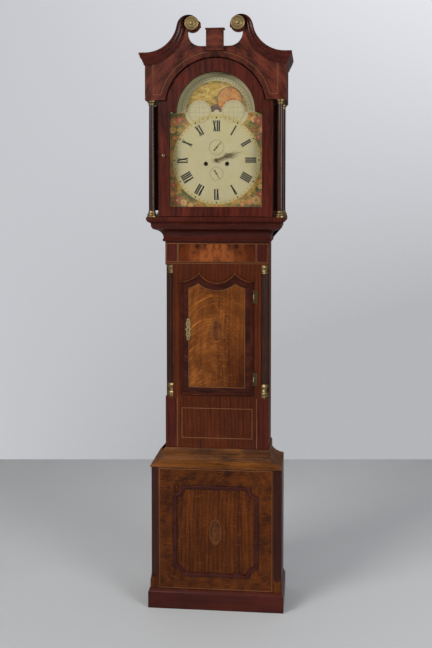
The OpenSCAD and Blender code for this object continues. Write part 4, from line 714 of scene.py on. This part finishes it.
class CLOCK_OT_stage(bpy.types.Operator):
    """Sets the wall, the floor, the lamps and the camera at the photograph's angle"""

    bl_idname = "clock.stage"
    bl_label = "Stage"

    def execute(self, context):
        settings = context.scene.clock_stage
        ahead, aside = math.cos(settings.swing), math.sin(settings.swing)
        wall_y, wall_high, half, pivot_y = 1.95, 8.0, 9.0, -0.08
        # The wall's painted light gradient runs from the first tone to the second.
        paper = backdrop("Wall paper", (0.44, 0.445, 0.465), (0.80, 0.81, 0.86))
        wall = sheet_object("wall", [(x, 0, z) for x, z in rectangle(-half, half, 0, wall_high)], paper)
        wall.location = (-wall_y * aside, wall_y * ahead, 0)
        wall.rotation_euler = (0, 0, settings.swing)
        sheet_object("floor", [(x, y, 0) for x, y in rectangle(-half, half, -half, half)], floor_material())
        lamp("key_lamp", (-2.6, -3.2, 3.3), settings.key, 1.9, 1.9, (1.0, 0.985, 0.96))
        lamp("fill_lamp", (2.9, -3.0, 2.1), settings.fill, 1.6, 2.2, (0.96, 0.98, 1.0))
        room_light(context.scene)
        camera = settle("camera", bpy.data.cameras.new("camera"))
        camera.data.lens = 52.85
        camera.data.shift_y = -0.1355
        camera.location = (settings.distance * aside, pivot_y - settings.distance * ahead, settings.eye)
        camera.rotation_euler = (math.pi / 2 - settings.pitch, 0, settings.swing)
        context.scene.camera = camera
        context.scene.view_settings.view_transform = "Standard"
        return {"FINISHED"}


# Woods, metals and glass on the CAD pieces


class CLOCK_OT_dress(bpy.types.Operator):
    """Gives every CAD piece its timber, brass, steel, paint or glass"""

    bl_idname = "clock.dress"
    bl_label = "Dress the pieces"

    def execute(self, context):
        light, dark = colour_of("mahogany_light"), colour_of("mahogany_dark")
        base = timber("Base oak", (0.108, 0.0265, 0.0034), (0.024, 0.0055, 0.0016), (210, 210, 12),
                      figure=0.8, fleck=0.4, pores=0.6)
        panel = timber("Door oak", colour_of("oak_light"), colour_of("oak_dark"), (230, 230, 12), figure=0.9,
                       fleck=0.8, pores=0.6, mirror=0.35, sweep=5.0, middle=1.05, grime=0.9)
        works = metal("Movement brass", (0.60, 0.42, 0.16), age=0.35)
        left = set(NODES)
        for made, names in (
            (timber("Hood mahogany", light, dark, UPRIGHT, figure=0.5), "hood_carcass"),
            (timber("Trunk oak", (0.092, 0.0190, 0.0048), (0.032, 0.0066, 0.0020), (210, 210, 11), figure=0.4,
                    fleck=0.16, pores=0.6), "trunk_carcass"),
            # The mouldings' pale edge colour is a painted highlight over rubbed polish.
            (timber("Moulding mahogany", (0.066, 0.0098, 0.0048), dark, LEVEL, figure=0.5, rub=0.9, coat=0.22,
                    polish=0.22, edge=(0.25, 0.125, 0.085), depth=0.0, soft=0.0006),
             "plinth throat_moulding hood_cornice base_panel_moulding"),
            (timber("Frieze mahogany", (0.108, 0.0235, 0.0125), (0.022, 0.0045, 0.003), (60, 120, 110),
                    figure=1.5, mirror=1.0, sweep=2.5, middle=1.6, coat=0.15), "hood_front"),
            (timber("Hood door mahogany", light, dark, (150, 120, 24), figure=0.9, coat=0.2), "glass_door"),
            (canted(base, (0.052, 0.010, 0.006), (0.016, 0.0035, 0.0025)), "base_carcass"),
            (timber("Shoulder oak", (0.165, 0.056, 0.011), (0.034, 0.010, 0.003), (14, 230, 230), figure=0.8,
                    fleck=0.2, pores=0.6, coat=0.2, rub=0.8), "shoulder_moulding"),
            (lipped(shaded(panel, 0.0, 0.10, (0.38, 0.28, 0.25), lean=True), light, dark), "trunk_door"),
            (timber("Plain oak", (0.20, 0.115, 0.05), (0.07, 0.035, 0.016), UPRIGHT, pores=0.8, polish=0.6,
                    coat=0.0, grime=0.8), "backboard seatboard"),
            (timber("Dark columns", colour_of("ebonised"), (0.010, 0.005, 0.004), UPRIGHT, polish=0.34,
                    edge=(0.10, 0.04, 0.02), figure=0.3, coat=0.3, rub=0.3, depth=0.02),
             "quarter_columns hood_columns"),
            (metal("Brass", colour_of("brass")), "quarter_column_brasses hood_brasses glass_door_brasses"),
            (metal("Brown brass", (0.15, 0.105, 0.055), age=0.7), "trunk_hinge_butts"),
            (metal("Bright brass", (0.50, 0.38, 0.18), (0.17, 0.12, 0.06), 0.6), "trunk_door_brasses"),
            (steel_ended(works, -0.045),
             "front_plate back_plate bell going_great_wheel going_barrel centre_wheel minute_wheel "
             "hour_wheel third_wheel escape_wheel strike_great_wheel strike_barrel pin_wheel "
             "gathering_wheel warning_wheel fly pendulum_bob going_pulley strike_pulley rating_nut"),
            (metal("Steel", (0.46, 0.46, 0.47), (0.12, 0.10, 0.09), 0.4),
             "line_ends hammer rack rack_hook pallets pendulum_rod lock_bolt"),
            (metal("Iron", (0.16, 0.155, 0.15), (0.07, 0.05, 0.04), 0.7), "trunk_lock"),
            (metal("Weights", (0.20, 0.19, 0.18), (0.06, 0.055, 0.05)), "going_weight strike_weight"),
            (metal("Dark brass hands", (0.27, 0.215, 0.11), (0.090, 0.066, 0.034), 0.5),
             "minute_hand hour_hand seconds_hand date_hand"),
            (timber("Gut", (0.30, 0.20, 0.09), (0.16, 0.10, 0.05), (400, 400, 40), coat=0.0),
             "going_line strike_line"),
            (rimmed(painted("Dial paint", colour_of("enamel")), context.scene.clock_dial.circle), "dial"),
            (painted("Moon disc paint", colour_of("sky"), yellowing=0.3), "moon_disc"),
            (glass_material(), "hood_side_glass door_glass"),
        ):
            for name in names.split():
                mesh = NODES[name].data
                mesh.materials.clear()
                mesh.materials.append(made)
                left.discard(name)
        if left:
            raise RuntimeError("no material for " + ", ".join(sorted(left)))
        return {"FINISHED"}


# Veneers, lines and strings


def door_outline(inset):
    """Outline of the trunk door with its two points, moved inwards by inset."""
    half, foot, point, cusp = 0.1365, 0.810, 1.278, 0.068
    middle_depth, corner_depth = 0.040, 0.035
    middle_r = (cusp ** 2 + middle_depth ** 2) / (2 * middle_depth)
    corner_r = ((half - cusp) ** 2 + corner_depth ** 2) / (2 * corner_depth)
    middle_z, corner_z = point - middle_depth + middle_r, point - corner_depth + corner_r
    big, small = middle_r + inset, corner_r + inset
    gap = math.hypot(half, corner_z - middle_z)
    along = (big ** 2 - small ** 2 + gap ** 2) / (2 * gap)
    off = math.sqrt(max(0.0, big ** 2 - along ** 2))
    ux, uz = half / gap, (corner_z - middle_z) / gap
    tip_x, tip_z = along * ux + off * uz, middle_z + along * uz - off * ux
    side = half - inset
    side_z = corner_z - math.sqrt(small ** 2 - inset ** 2)
    start, stop = math.atan2(-inset, side_z - corner_z), math.atan2(tip_x - half, tip_z - corner_z)
    right = arc(small, start, stop, half, corner_z, 12)
    reach = math.asin(min(1.0, tip_x / big))
    hollow = arc(big, math.pi - reach, math.pi + reach, 0, middle_z, 24)[1:-1]
    return [(-side, foot + inset), (side, foot + inset)] + right + hollow + mirrored(right, -1)[::-1]


def lock_plate():
    """Lays scrolls on the trunk door's lock plate and, between them, dark ovals of painted shade that stand for
    piercings.
    """
    plate = metal("Lock plate brass", (0.60, 0.46, 0.22), (0.20, 0.14, 0.07), 0.4)
    # Painted shade: dark ovals stand for the piercings of the plate.
    piercing_shade = painted("Pierced shadow", (0.020, 0.010, 0.006), (0.03, 0.015, 0.008), 0.2, 0.1)
    scrolls, holes = bmesh.new(), bmesh.new()
    hole_y, thin = LOCK_FACE - 0.00008, 0.00006
    for up in (-1, 1):
        for s in (-1, 1):
            curl = [(LOCK_X + s * (0.0012 + 0.0058 * math.sin(math.pi * i / 14) * (1 - 0.25 * i / 14)),
                     LOCK_Z + up * (0.010 + 0.0022 * i)) for i in range(15)]
            strip(scrolls, curl, 0.0013, LOCK_FACE, lift=0.0007)
            disc(holes, LOCK_X + s * 0.0030, LOCK_Z + up * 0.0185, 0.0012, 0.0042, hole_y, -s * up * 0.25, 14,
                 thin)
        disc(holes, LOCK_X, LOCK_Z + up * 0.0325, 0.0015, 0.0036, hole_y, 0, 14, thin)
        disc(scrolls, LOCK_X, LOCK_Z + up * 0.0250, 0.0022, 0.0022, LOCK_FACE - 0.0007, 0, 16, 0.0007)
    finish_mesh("lock_plate_scrolls", scrolls, plate, "trunk_door")
    finish_mesh("lock_plate_piercings", holes, piercing_shade, "trunk_door")


class CLOCK_OT_veneer(bpy.types.Operator):
    """Lays the flame frieze, the crossbanding, the ovals, the corner blocks and the lock plate's scrolls"""

    bl_idname = "clock.veneer"
    bl_label = "Veneers"

    def execute(self, context):
        light, dark = colour_of("mahogany_light"), colour_of("mahogany_dark")
        data = bmesh.new()
        for s in (-1, 1):
            slab(data, mirrored(rectangle(0.2155, 0.2375, STILE_LOW, STILE_HIGH), s), -0.0755, -0.0650)
            slab(data, mirrored(rectangle(0.2155, 0.2240, STILE_LOW, STILE_HIGH), s), -0.0775, -0.0754)
        finish_mesh("hood_stiles", data, timber("Stile mahogany", light, dark, UPRIGHT, figure=0.4), "hood")
        lock_plate()
        flame = timber("Flame veneer", colour_of("flame_light"), dark, (95, 200, 60), figure=1.9, mirror=1.0,
                       sweep=6.0, middle=1.31, polish=0.22, coat=0.15)
        flame = shaded(flame, 0.05, 0.12, (0.36, 0.26, 0.24))
        band = timber("Crossbanding", (0.060, 0.014, 0.007), (0.016, 0.004, 0.003), (26, 200, 200),
                      polish=0.25)
        across = timber("Base crossbanding", (0.098, 0.0245, 0.0034), (0.022, 0.0055, 0.0018), (60, 210, 150),
                        figure=0.8, fleck=0.4)
        burr = timber("Oval veneer", (0.150, 0.050, 0.012), (0.050, 0.015, 0.005), (110, 200, 90), figure=1.0)
        block = timber("Block veneer", (0.085, 0.014, 0.008), (0.022, 0.004, 0.003), UPRIGHT, figure=0.3)
        frieze_block = rectangle(0.153, 0.191, FRIEZE_LOW, FRIEZE_HIGH)
        corner_block = rectangle(0.153, 0.194, 0.606, 0.792)
        base_band = rectangle(-0.212, 0.212, 0.080, 0.534), [rectangle(-0.1625, 0.1625, 0.1255, 0.4755)]
        for name, made, body, face, plates in (
            ("flame_frieze", flame, "case", TRUNK_FACE,
             [(rectangle(-0.146, 0.146, FRIEZE_LOW, FRIEZE_HIGH), ())]),
            ("frieze_blocks", block, "case", TRUNK_FACE, [(mirrored(frieze_block, s), ()) for s in (-1, 1)]),
            ("corner_blocks", block, "case", TRUNK_FACE, [(mirrored(corner_block, s), ()) for s in (-1, 1)]),
            ("door_crossband", band, "trunk_door", DOOR_PANEL,
             [(door_outline(0.0092), [door_outline(0.029)])]),
            ("door_oval", burr, "trunk_door", DOOR_PANEL, [(oval(0, DOOR_MIDDLE, 0.019, 0.039, 40), ())]),
            ("base_oval", burr, "case", BASE_FACE, [(oval(0, BASE_MIDDLE, 0.021, 0.047, 40), ())]),
            ("base_crossband", across, "case", BASE_FACE, [base_band]),
        ):
            data = bmesh.new()
            for outline, holes in plates:
                slab(data, outline, face - 0.0005, face + 0.0002, holes)
            finish_mesh(name, data, made, body)
        return {"FINISHED"}


class CLOCK_OT_lines(bpy.types.Operator):
    """Hangs each weight on two gut strands of fixed length"""

    bl_idname = "clock.lines"
    bl_label = "Gut lines"

    def execute(self, context):
        gut = timber("Gut strand", (0.30, 0.20, 0.09), (0.16, 0.10, 0.05), (900, 900, 60), coat=0.0, rub=0.0)
        radius, sides, rings = 0.0008, 10, 16
        turns = [math.tau * k / sides for k in range(sides)]
        for name, middle in (("going", LINE_X), ("strike", -LINE_X)):
            data = bmesh.new()
            for strand in (middle - PULLEY_RADIUS, middle + PULLEY_RADIUS):
                loops = []
                for i in range(rings + 1):
                    z = LINE_TOP + (LINE_FOOT - LINE_TOP) * i / rings
                    rim = [(strand + radius * math.cos(turn), LINE_Y + radius * math.sin(turn), z)
                           for turn in turns]
                    loops.append([data.verts.new(point) for point in rim])
                for upper, lower in zip(loops, loops[1:]):
                    for k in range(sides):
                        data.faces.new((upper[k], lower[k], lower[(k + 1) % sides], upper[(k + 1) % sides]))
                data.faces.new(loops[0])
                data.faces.new(loops[-1][::-1])
            piece = finish_mesh(name + "_strands", data, gut, smooth=True)
            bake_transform(piece)
            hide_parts(name + "_line")
        return {"FINISHED"}


class CLOCK_OT_strings(bpy.types.Operator):
    """Inlays the light strings of the hood, the trunk, the door and the base"""

    bl_idname = "clock.strings"
    bl_label = "Strings"

    def execute(self, context):
        made = timber("String", colour_of("string_wood"), (0.16, 0.07, 0.03), (300, 300, 30), rub=0.0)
        thin, wide, proud = 0.0018, 0.0024, 0.0004
        turn = math.acos(0.052 / 0.209)
        hood_loop = [(-0.231, 2.060), (-0.231, 1.941), *arc(0.209, -turn, turn, 0, 1.889), (0.231, 1.941),
                     (0.231, 2.060)]
        low, high = FRIEZE_LOW - 0.0015, FRIEZE_HIGH + 0.0015
        for name, body, rows in (
            ("hood_strings", "hood", [(hood_loop, thin, FRIEZE_FACE, False)]),
            ("trunk_strings", "case", [
                (rectangle(-0.134, 0.134, 0.643, 0.757), wide, TRUNK_FACE, True),
                *[(mirrored(rectangle(0.1515, 0.1925, low, high), s), thin, TRUNK_FACE - proud, True)
                  for s in (-1, 1)],
                (rectangle(-0.1475, 0.1475, low, high), thin, TRUNK_FACE - proud, True),
                ([(-0.194, 1.3105), (0.194, 1.3105)], thin, TRUNK_FACE, False),
                *[([(x, 0.606), (x, 0.796)], wide, TRUNK_FACE - 0.0003, False) for x in (-0.152, 0.152)],
            ]),
            ("door_strings", "trunk_door", [
                (door_outline(0.0298), thin, DOOR_PANEL - proud, True),
                (oval(0, DOOR_MIDDLE, 0.0195, 0.0395, 48), thin * 0.7, DOOR_PANEL - proud, True),
            ]),
            ("base_strings", "case", [
                (rectangle(-0.213, 0.213, 0.079, 0.535), thin, BASE_FACE - proud, True),
                (oval(0, BASE_MIDDLE, 0.0215, 0.0475, 48), thin, BASE_FACE - proud, True),
            ]),
        ):
            data = bmesh.new()
            for points, width, face, closed in rows:
                strip(data, points, width, face, closed, lift=proud)
            finish_mesh(name, data, made, body)
        return {"FINISHED"}


# The painted dial

INK_Y = DIAL_FACE - 0.00012
NUMERALS = ("XII", "I", "II", "III", "IIII", "V", "VI", "VII", "VIII", "IX", "X", "XI")
# A letter's strokes: where each ends at the top and at the foot, and its weight.
STROKES = {
    "I": ((0.0, 0.0, 1.0),),
    "V": ((-0.55, 0.0, 1.0), (0.55, 0.0, 0.45)),
    "X": ((-0.6, 0.6, 1.0), (0.6, -0.6, 0.45)),
}
# How wide each letter is.
ADVANCE = {"I": 0.0072, "V": 0.0125, "X": 0.0140}


def draw_numeral(data, text, angle, sizes):
    """Draws one Roman numeral, feet towards the centre of the dial."""
    low, high, stroke = sizes.numeral_foot, sizes.numeral_foot + sizes.numeral_height, sizes.stroke
    total = sum(ADVANCE[letter] for letter in text)
    u = -total / 2
    for letter in text:
        wide = ADVANCE[letter]
        middle = u + wide / 2
        for top, foot, weight in STROKES[letter]:
            reach = 1.5 * (wide - stroke) / 2
            line = [(middle + top * reach, high), (middle + foot * reach, low)]
            strip(data, spun(line, angle), stroke * weight, INK_Y)
        u += wide
    for v in (low, high):
        strip(data, spun([(-total / 2 - 0.0004, v), (total / 2 + 0.0004, v)], angle), 0.0008, INK_Y)


def ring_tree():
    """Geometry nodes: a ring of small dots or ticks round a centre in the front plane."""
    tree = bpy.data.node_groups.new("Ring of marks", "GeometryNodeTree")
    face = tree.interface
    face.new_socket("Geometry", in_out="OUTPUT", socket_type="NodeSocketGeometry")
    for label, kind in (("Count", "Int"), ("Radius", "Float"), ("Mark", "Vector"), ("Centre", "Vector"),
                        ("Material", "Material")):
        face.new_socket(label, in_out="INPUT", socket_type="NodeSocket" + kind)
    given = put(tree, "NodeGroupInput").outputs
    circle = put(tree, "GeometryNodeMeshCircle", {"Vertices": given["Count"], "Radius": given["Radius"]})
    mark = put(tree, "GeometryNodeMeshCylinder", {"Vertices": 10, "Radius": 0.5, "Depth": 1.0})
    sized = put(tree, "GeometryNodeTransform", {"Geometry": mark.outputs["Mesh"], "Scale": given["Mark"]})
    spot = put(tree, "GeometryNodeInputPosition").outputs[0]
    facing = put(tree, "FunctionNodeAlignRotationToVector", {"Vector": spot}, axis="X")
    marks = put(tree, "GeometryNodeInstanceOnPoints", {
        "Points": circle.outputs["Mesh"], "Instance": sized.outputs[0], "Rotation": facing.outputs[0]})
    upright = put(tree, "GeometryNodeTransform", {
        "Geometry": marks.outputs[0], "Translation": given["Centre"], "Rotation": (math.pi / 2, 0, 0)})
    real = put(tree, "GeometryNodeRealizeInstances", {"Geometry": upright.outputs[0]})
    done = put(tree, "GeometryNodeSetMaterial", {"Geometry": real.outputs[0], "Material": given["Material"]})
    feed(tree, put(tree, "NodeGroupOutput"), Geometry=done.outputs[0])
    return tree


def ring_of(name, count, radius, mark, z, made, keep):
    """Makes a ring of marks on the dial as a plain mesh; keep picks the marks by their place."""
    tree = bpy.data.node_groups.get("Ring of marks") or ring_tree()
    holder = settle(name + "_holder", bpy.data.meshes.new(name + "_holder"))
    nodes = holder.modifiers.new("ring", "NODES")
    nodes.node_group = tree
    values = {"Count": count, "Radius": radius, "Mark": mark, "Centre": (0, INK_Y, z), "Material": made}
    for socket in tree.interface.items_tree:
        if socket.in_out == "INPUT" and socket.name in values:
            nodes[socket.identifier] = values[socket.name]
    bpy.context.view_layer.update()
    ready = holder.evaluated_get(bpy.context.evaluated_depsgraph_get())
    mesh = bpy.data.meshes.new_from_object(ready)
    mesh.name = name
    bpy.data.objects.remove(holder)
    if keep:
        data = bmesh.new()
        data.from_mesh(mesh)
        bmesh.ops.delete(data, geom=[v for v in data.verts if not keep(v.co)], context="VERTS")
        data.to_mesh(mesh)
        data.free()
    if not mesh.materials:
        mesh.materials.append(made)
    settle(name, mesh, "case")


class CLOCK_OT_dial(bpy.types.Operator):
    """Paints the numerals, dots, rings and subsidiary dials"""

    bl_idname = "clock.dial"
    bl_label = "Dial"

    def execute(self, context):
        sizes = context.scene.clock_dial
        ink = painted("Ink", colour_of("ink"), (0.05, 0.04, 0.03), 0.15, 0.15)
        faint = painted("Faint ink", (0.13, 0.105, 0.06), (0.35, 0.27, 0.12), 0.7, 0.3)
        gilt = painted("Gilt line", (0.36, 0.235, 0.060), (0.16, 0.11, 0.04), 0.6, 0.3)
        data = bmesh.new()
        for hour, text in enumerate(NUMERALS):
            draw_numeral(data, text, math.tau * hour / 12, sizes)
        finish_mesh("numerals", data, ink, "case")
        for name, count, radius, mark, z, made in (
            ("minute_dots", 60, sizes.dots, (0.0034, 0.0034, 0.0001), DIAL_CENTRE, ink),
            ("hour_dots", 12, sizes.dots, (0.0064, 0.0064, 0.00014), DIAL_CENTRE, ink),
            ("lunar_ticks", 118, 0.1330, (0.0085, 0.0022, 0.0001), ARCH_CENTRE, ink),
            ("lunar_dots", 60, 0.1235, (0.0036, 0.0036, 0.0001), ARCH_CENTRE, ink),
            ("seconds_ticks", 60, 0.0272, (0.0034, 0.0010, 0.0001), SECONDS_Z, faint),
            ("date_ticks", 31, 0.0240, (0.0036, 0.0011, 0.0001), DATE_Z, faint),
        ):
            in_arch = (lambda co: co.z > ARCH_CENTRE + 0.004) if name.startswith("lunar") else None
            ring_of(name, count, radius, mark, z, made, in_arch)
        data, fine = bmesh.new(), 0.00004
        for radius, x, z, width in (
            (0.0290, 0, SECONDS_Z, 0.0006), (0.0257, 0, SECONDS_Z, 0.0004),
            (0.0258, 0, DATE_Z, 0.0006), (0.0222, 0, DATE_Z, 0.0004),
            (0.0405, -HUMP_X, HUMP_Z, 0.0009), (0.0405, HUMP_X, HUMP_Z, 0.0009),
            (0.0375, -HUMP_X, HUMP_Z, 0.0005), (0.0375, HUMP_X, HUMP_Z, 0.0005),
        ):
            strip(data, oval(x, z, radius, radius, 64), width, INK_Y, closed=True, lift=fine)
        globe = 0.0365
        for x in (-HUMP_X, HUMP_X):
            for k in (-0.55, 0.0, 0.55):
                turns = [math.pi * (i / 16 - 0.5) for i in range(17)]
                swing = [(x + k * 0.030 * math.cos(turn), HUMP_Z + globe * math.sin(turn)) for turn in turns]
                strip(data, swing, 0.0006, INK_Y, lift=fine)
            for k in (-0.5, 0.0, 0.5):
                reach = globe * math.cos(k * 1.2)
                steps = [i / 8 - 1 for i in range(17)]
                bow = [(x + reach * step, HUMP_Z + k * 0.036 + 0.004 * k * step ** 2) for step in steps]
                strip(data, bow, 0.0006, INK_Y, lift=fine)
        finish_mesh("faint_rings", data, faint, "case")
        data = bmesh.new()
        circle = oval(0, DIAL_CENTRE, sizes.circle, sizes.circle, 128)
        strip(data, circle, 0.0016, INK_Y - 0.0001, closed=True, lift=0.00006)
        for radius, width in ((0.1178, 0.0012), (sizes.lunar_high, 0.0010)):
            strip(data, arc(radius, -1.55, 1.55, 0, ARCH_CENTRE, 96), width, INK_Y, lift=0.00006)
        finish_mesh("gilt_lines", data, gilt, "case")
        return {"FINISHED"}


def blossom(petals, leaves, centre, x, z, size, rnd):
    """Paints one blossom: five leaves, seven petals and a centre of another colour."""
    face, thin = DIAL_FACE - 0.00016, 0.00006
    for k in range(5):
        turn = math.tau * k / 5 + rnd.uniform(-0.3, 0.3) + 0.5
        disc(leaves, x + size * 1.25 * math.sin(turn), z + size * 1.15 * math.cos(turn), size * 0.26,
             size * 0.62, face - 0.00001 * k, turn, 12, thin)
    for k in range(7):
        turn = math.tau * k / 7
        disc(petals, x + size * 0.52 * math.sin(turn), z + size * 0.52 * math.cos(turn), size * 0.42,
             size * 0.5, face - 0.0001 - 0.000015 * k, turn, 14, thin)
    disc(centre, x, z, size * 0.3, size * 0.3, face - 0.00026, 0, 12, thin)


class CLOCK_OT_spandrels(bpy.types.Operator):
    """Paints flower sprays in the four corners of the dial"""

    bl_idname = "clock.spandrels"
    bl_label = "Corner paintings"

    def execute(self, context):
        circle = context.scene.clock_dial.circle + 0.0005
        ground = brushed("Corner ground", (0.36, 0.22, 0.045), (0.050, 0.070, 0.026), (0.36, 0.105, 0.030),
                         15)
        paints = (
            brushed("Orange petals", (0.45, 0.13, 0.035), (0.50, 0.21, 0.06), (0.28, 0.045, 0.022), 160),
            brushed("Red petals", (0.33, 0.050, 0.035), (0.45, 0.12, 0.06), (0.20, 0.03, 0.03), 160),
            brushed("Cream petals", (0.52, 0.33, 0.10), (0.46, 0.19, 0.06), (0.46, 0.36, 0.16), 160),
            brushed("Leaves", (0.060, 0.085, 0.035), (0.12, 0.14, 0.04), (0.035, 0.06, 0.05), 120),
        )
        hump = arc(0.0545, math.radians(92), math.radians(140), HUMP_X, HUMP_Z, 10)
        upper = arc(circle, math.radians(37), math.radians(90), 0, DIAL_CENTRE, 24)
        lower = arc(circle, math.radians(90), math.radians(179.5), 0, DIAL_CENTRE, 40)
        fields = bmesh.new()
        for s in (1, -1):
            for shape in (
                hump[::-1] + [(DIAL_SIDE, 1.8765), (DIAL_SIDE, upper[-1][1])] + upper[::-1],
                lower + [(lower[-1][0], DIAL_FOOT), (DIAL_SIDE, DIAL_FOOT), (DIAL_SIDE, lower[0][1])],
            ):
                slab(fields, mirrored(shape, s), DIAL_FACE - 0.00014, DIAL_FACE + 0.0001)
        finish_mesh("corner_fields", fields, ground, "case")
        rnd = random.Random(11)
        layers = [bmesh.new() for _ in paints]
        sprays = (
            (0.157, 1.846, 0.013), (0.140, 1.852, 0.010), (0.166, 1.815, 0.010), (0.160, 1.785, 0.008),
            (0.150, 1.548, 0.014), (0.126, 1.541, 0.010), (0.166, 1.576, 0.010), (0.163, 1.604, 0.008),
            (0.100, 1.534, 0.007),
        )
        for s in (1, -1):
            for number, (x, z, size) in enumerate(sprays):
                x += rnd.uniform(-0.003, 0.003)
                z += rnd.uniform(-0.003, 0.003)
                kind = (number + (s > 0)) % 3
                blossom(layers[kind], layers[3], layers[2 if kind != 2 else 0], s * x, z, size * 1.25, rnd)
        names = ("orange_petals", "red_petals", "cream_petals", "leaves")
        for name, data, made in zip(names, layers, paints):
            finish_mesh(name, data, made, "case")
        return {"FINISHED"}


def moon_features():
    """Eyes, brows, nose and mouth of the moon's quiet face, about its middle."""
    def curve(left, step, level, sag):
        return [(left + step * i, level + sag * math.sin(math.pi * i / 8)) for i in range(9)]

    return (
        curve(-0.020, 0.0016, 0.008, -0.0028), curve(0.0075, 0.0016, 0.008, -0.0028),
        curve(-0.021, 0.0018, 0.014, 0.0024), curve(0.0065, 0.0018, 0.014, 0.0024),
        [(0.000, 0.008), (0.0022, -0.004), (0.0030, -0.008), (-0.001, -0.0095)],
        curve(-0.010, 0.0025, -0.018, -0.0030),
    )


class CLOCK_OT_moon(bpy.types.Operator):
    """Paints the moon disc: a golden sky, two plain moons with a quiet face, and stars"""

    bl_idname = "clock.moon"
    bl_label = "Moon disc"

    def execute(self, context):
        paints = {
            "sky": brushed("Sky", (0.36, 0.215, 0.040), (0.150, 0.110, 0.026), (0.44, 0.30, 0.085), 16, 0.2),
            "dusk": brushed("Dusk", (0.055, 0.045, 0.050), (0.10, 0.060, 0.050), (0.16, 0.10, 0.04), 30, 0.2),
            "moons": brushed("Moon paint", (0.40, 0.155, 0.045), (0.36, 0.215, 0.070), (0.28, 0.080, 0.030),
                             30),
            "stars": painted("Star paint", (0.62, 0.46, 0.16), (0.2, 0.13, 0.05), 0.3, 0.2),
            "face_lines": painted("Face lines", (0.10, 0.045, 0.035), (0.2, 0.1, 0.06), 0.4, 0.2),
        }
        layers = {name: bmesh.new() for name in paints}
        far, first = 0.0665, 0.82
        disc(layers["sky"], 0, ARCH_CENTRE, 0.1172, 0.1172, MOON_FACE, 0, 96)
        disc(layers["dusk"], 0, ARCH_CENTRE, 0.030, 0.030, MOON_FACE - 0.00012, 0, 40)
        for turn in (first, first + math.pi):
            (x, z), = spun([(0, far)], turn, ARCH_CENTRE)
            disc(layers["dusk"], x, z, 0.0485, 0.0485, MOON_FACE - 0.00014, 0, 56)
            disc(layers["moons"], x, z, 0.0455, 0.0455, MOON_FACE - 0.00024, 0, 56)
            for points in moon_features():
                placed = spun([(u, far + v) for u, v in points], turn, ARCH_CENTRE)
                strip(layers["face_lines"], placed, 0.0019, MOON_FACE - 0.00034, lift=0.00006)
        rnd = random.Random(5)
        for _ in range(34):
            radius = rnd.uniform(0.045, 0.112)
            turn = rnd.uniform(-0.42, 0.12) + rnd.choice((-0.55, math.pi - 0.55))
            (x, z), = spun([(0, radius)], turn, ARCH_CENTRE)
            disc(layers["stars"], x, z, 0.0012, 0.0012, MOON_FACE - 0.00012, 0, 8, 0.00008)
        for name, made in paints.items():
            finish_mesh("moon_" + name, layers[name], made, "moon")
        return {"FINISHED"}


# Registration


class CLOCK_PT_panel(bpy.types.Panel):
    """Settings and buttons of the clock"""

    bl_idname = "CLOCK_PT_panel"
    bl_label = "Longcase clock"
    bl_space_type = "VIEW_3D"
    bl_region_type = "UI"
    bl_category = "Clock"

    def draw(self, context):
        for name, _ in SETTINGS:
            settings = getattr(context.scene, name)
            box = self.layout.box()
            for key in settings.bl_rna.properties.keys():
                if key not in ("rna_type", "name"):
                    box.prop(settings, key)
        for step in STEPS:
            self.layout.operator(step.bl_idname)


SETTINGS = (("clock_finish", ClockFinish), ("clock_dial", ClockDial), ("clock_stage", ClockStage))
STEPS = (
    CLOCK_OT_dress, CLOCK_OT_veneer, CLOCK_OT_lines, CLOCK_OT_strings, CLOCK_OT_dial, CLOCK_OT_spandrels,
    CLOCK_OT_moon, CLOCK_OT_stage,
)


def register():
    """Registers the settings, the operators and the panel."""
    for name, kind in SETTINGS:
        bpy.utils.register_class(kind)
        setattr(bpy.types.Scene, name, PointerProperty(type=kind))
    for step in (*STEPS, CLOCK_PT_panel):
        bpy.utils.register_class(step)


def unregister():
    """Takes everything away again."""
    for step in (CLOCK_PT_panel, *STEPS[::-1]):
        bpy.utils.unregister_class(step)
    for name, kind in SETTINGS:
        delattr(bpy.types.Scene, name)
        bpy.utils.unregister_class(kind)


def main():
    """Builds the whole scene."""
    register()
    for build_group in (timber_group, edge_group, paint_group, brush_group, brass_group):
        build_group()
    for step in STEPS:
        area, word = step.bl_idname.split(".")
        getattr(getattr(bpy.ops, area), word)()


if __name__ == "__main__":
    main()
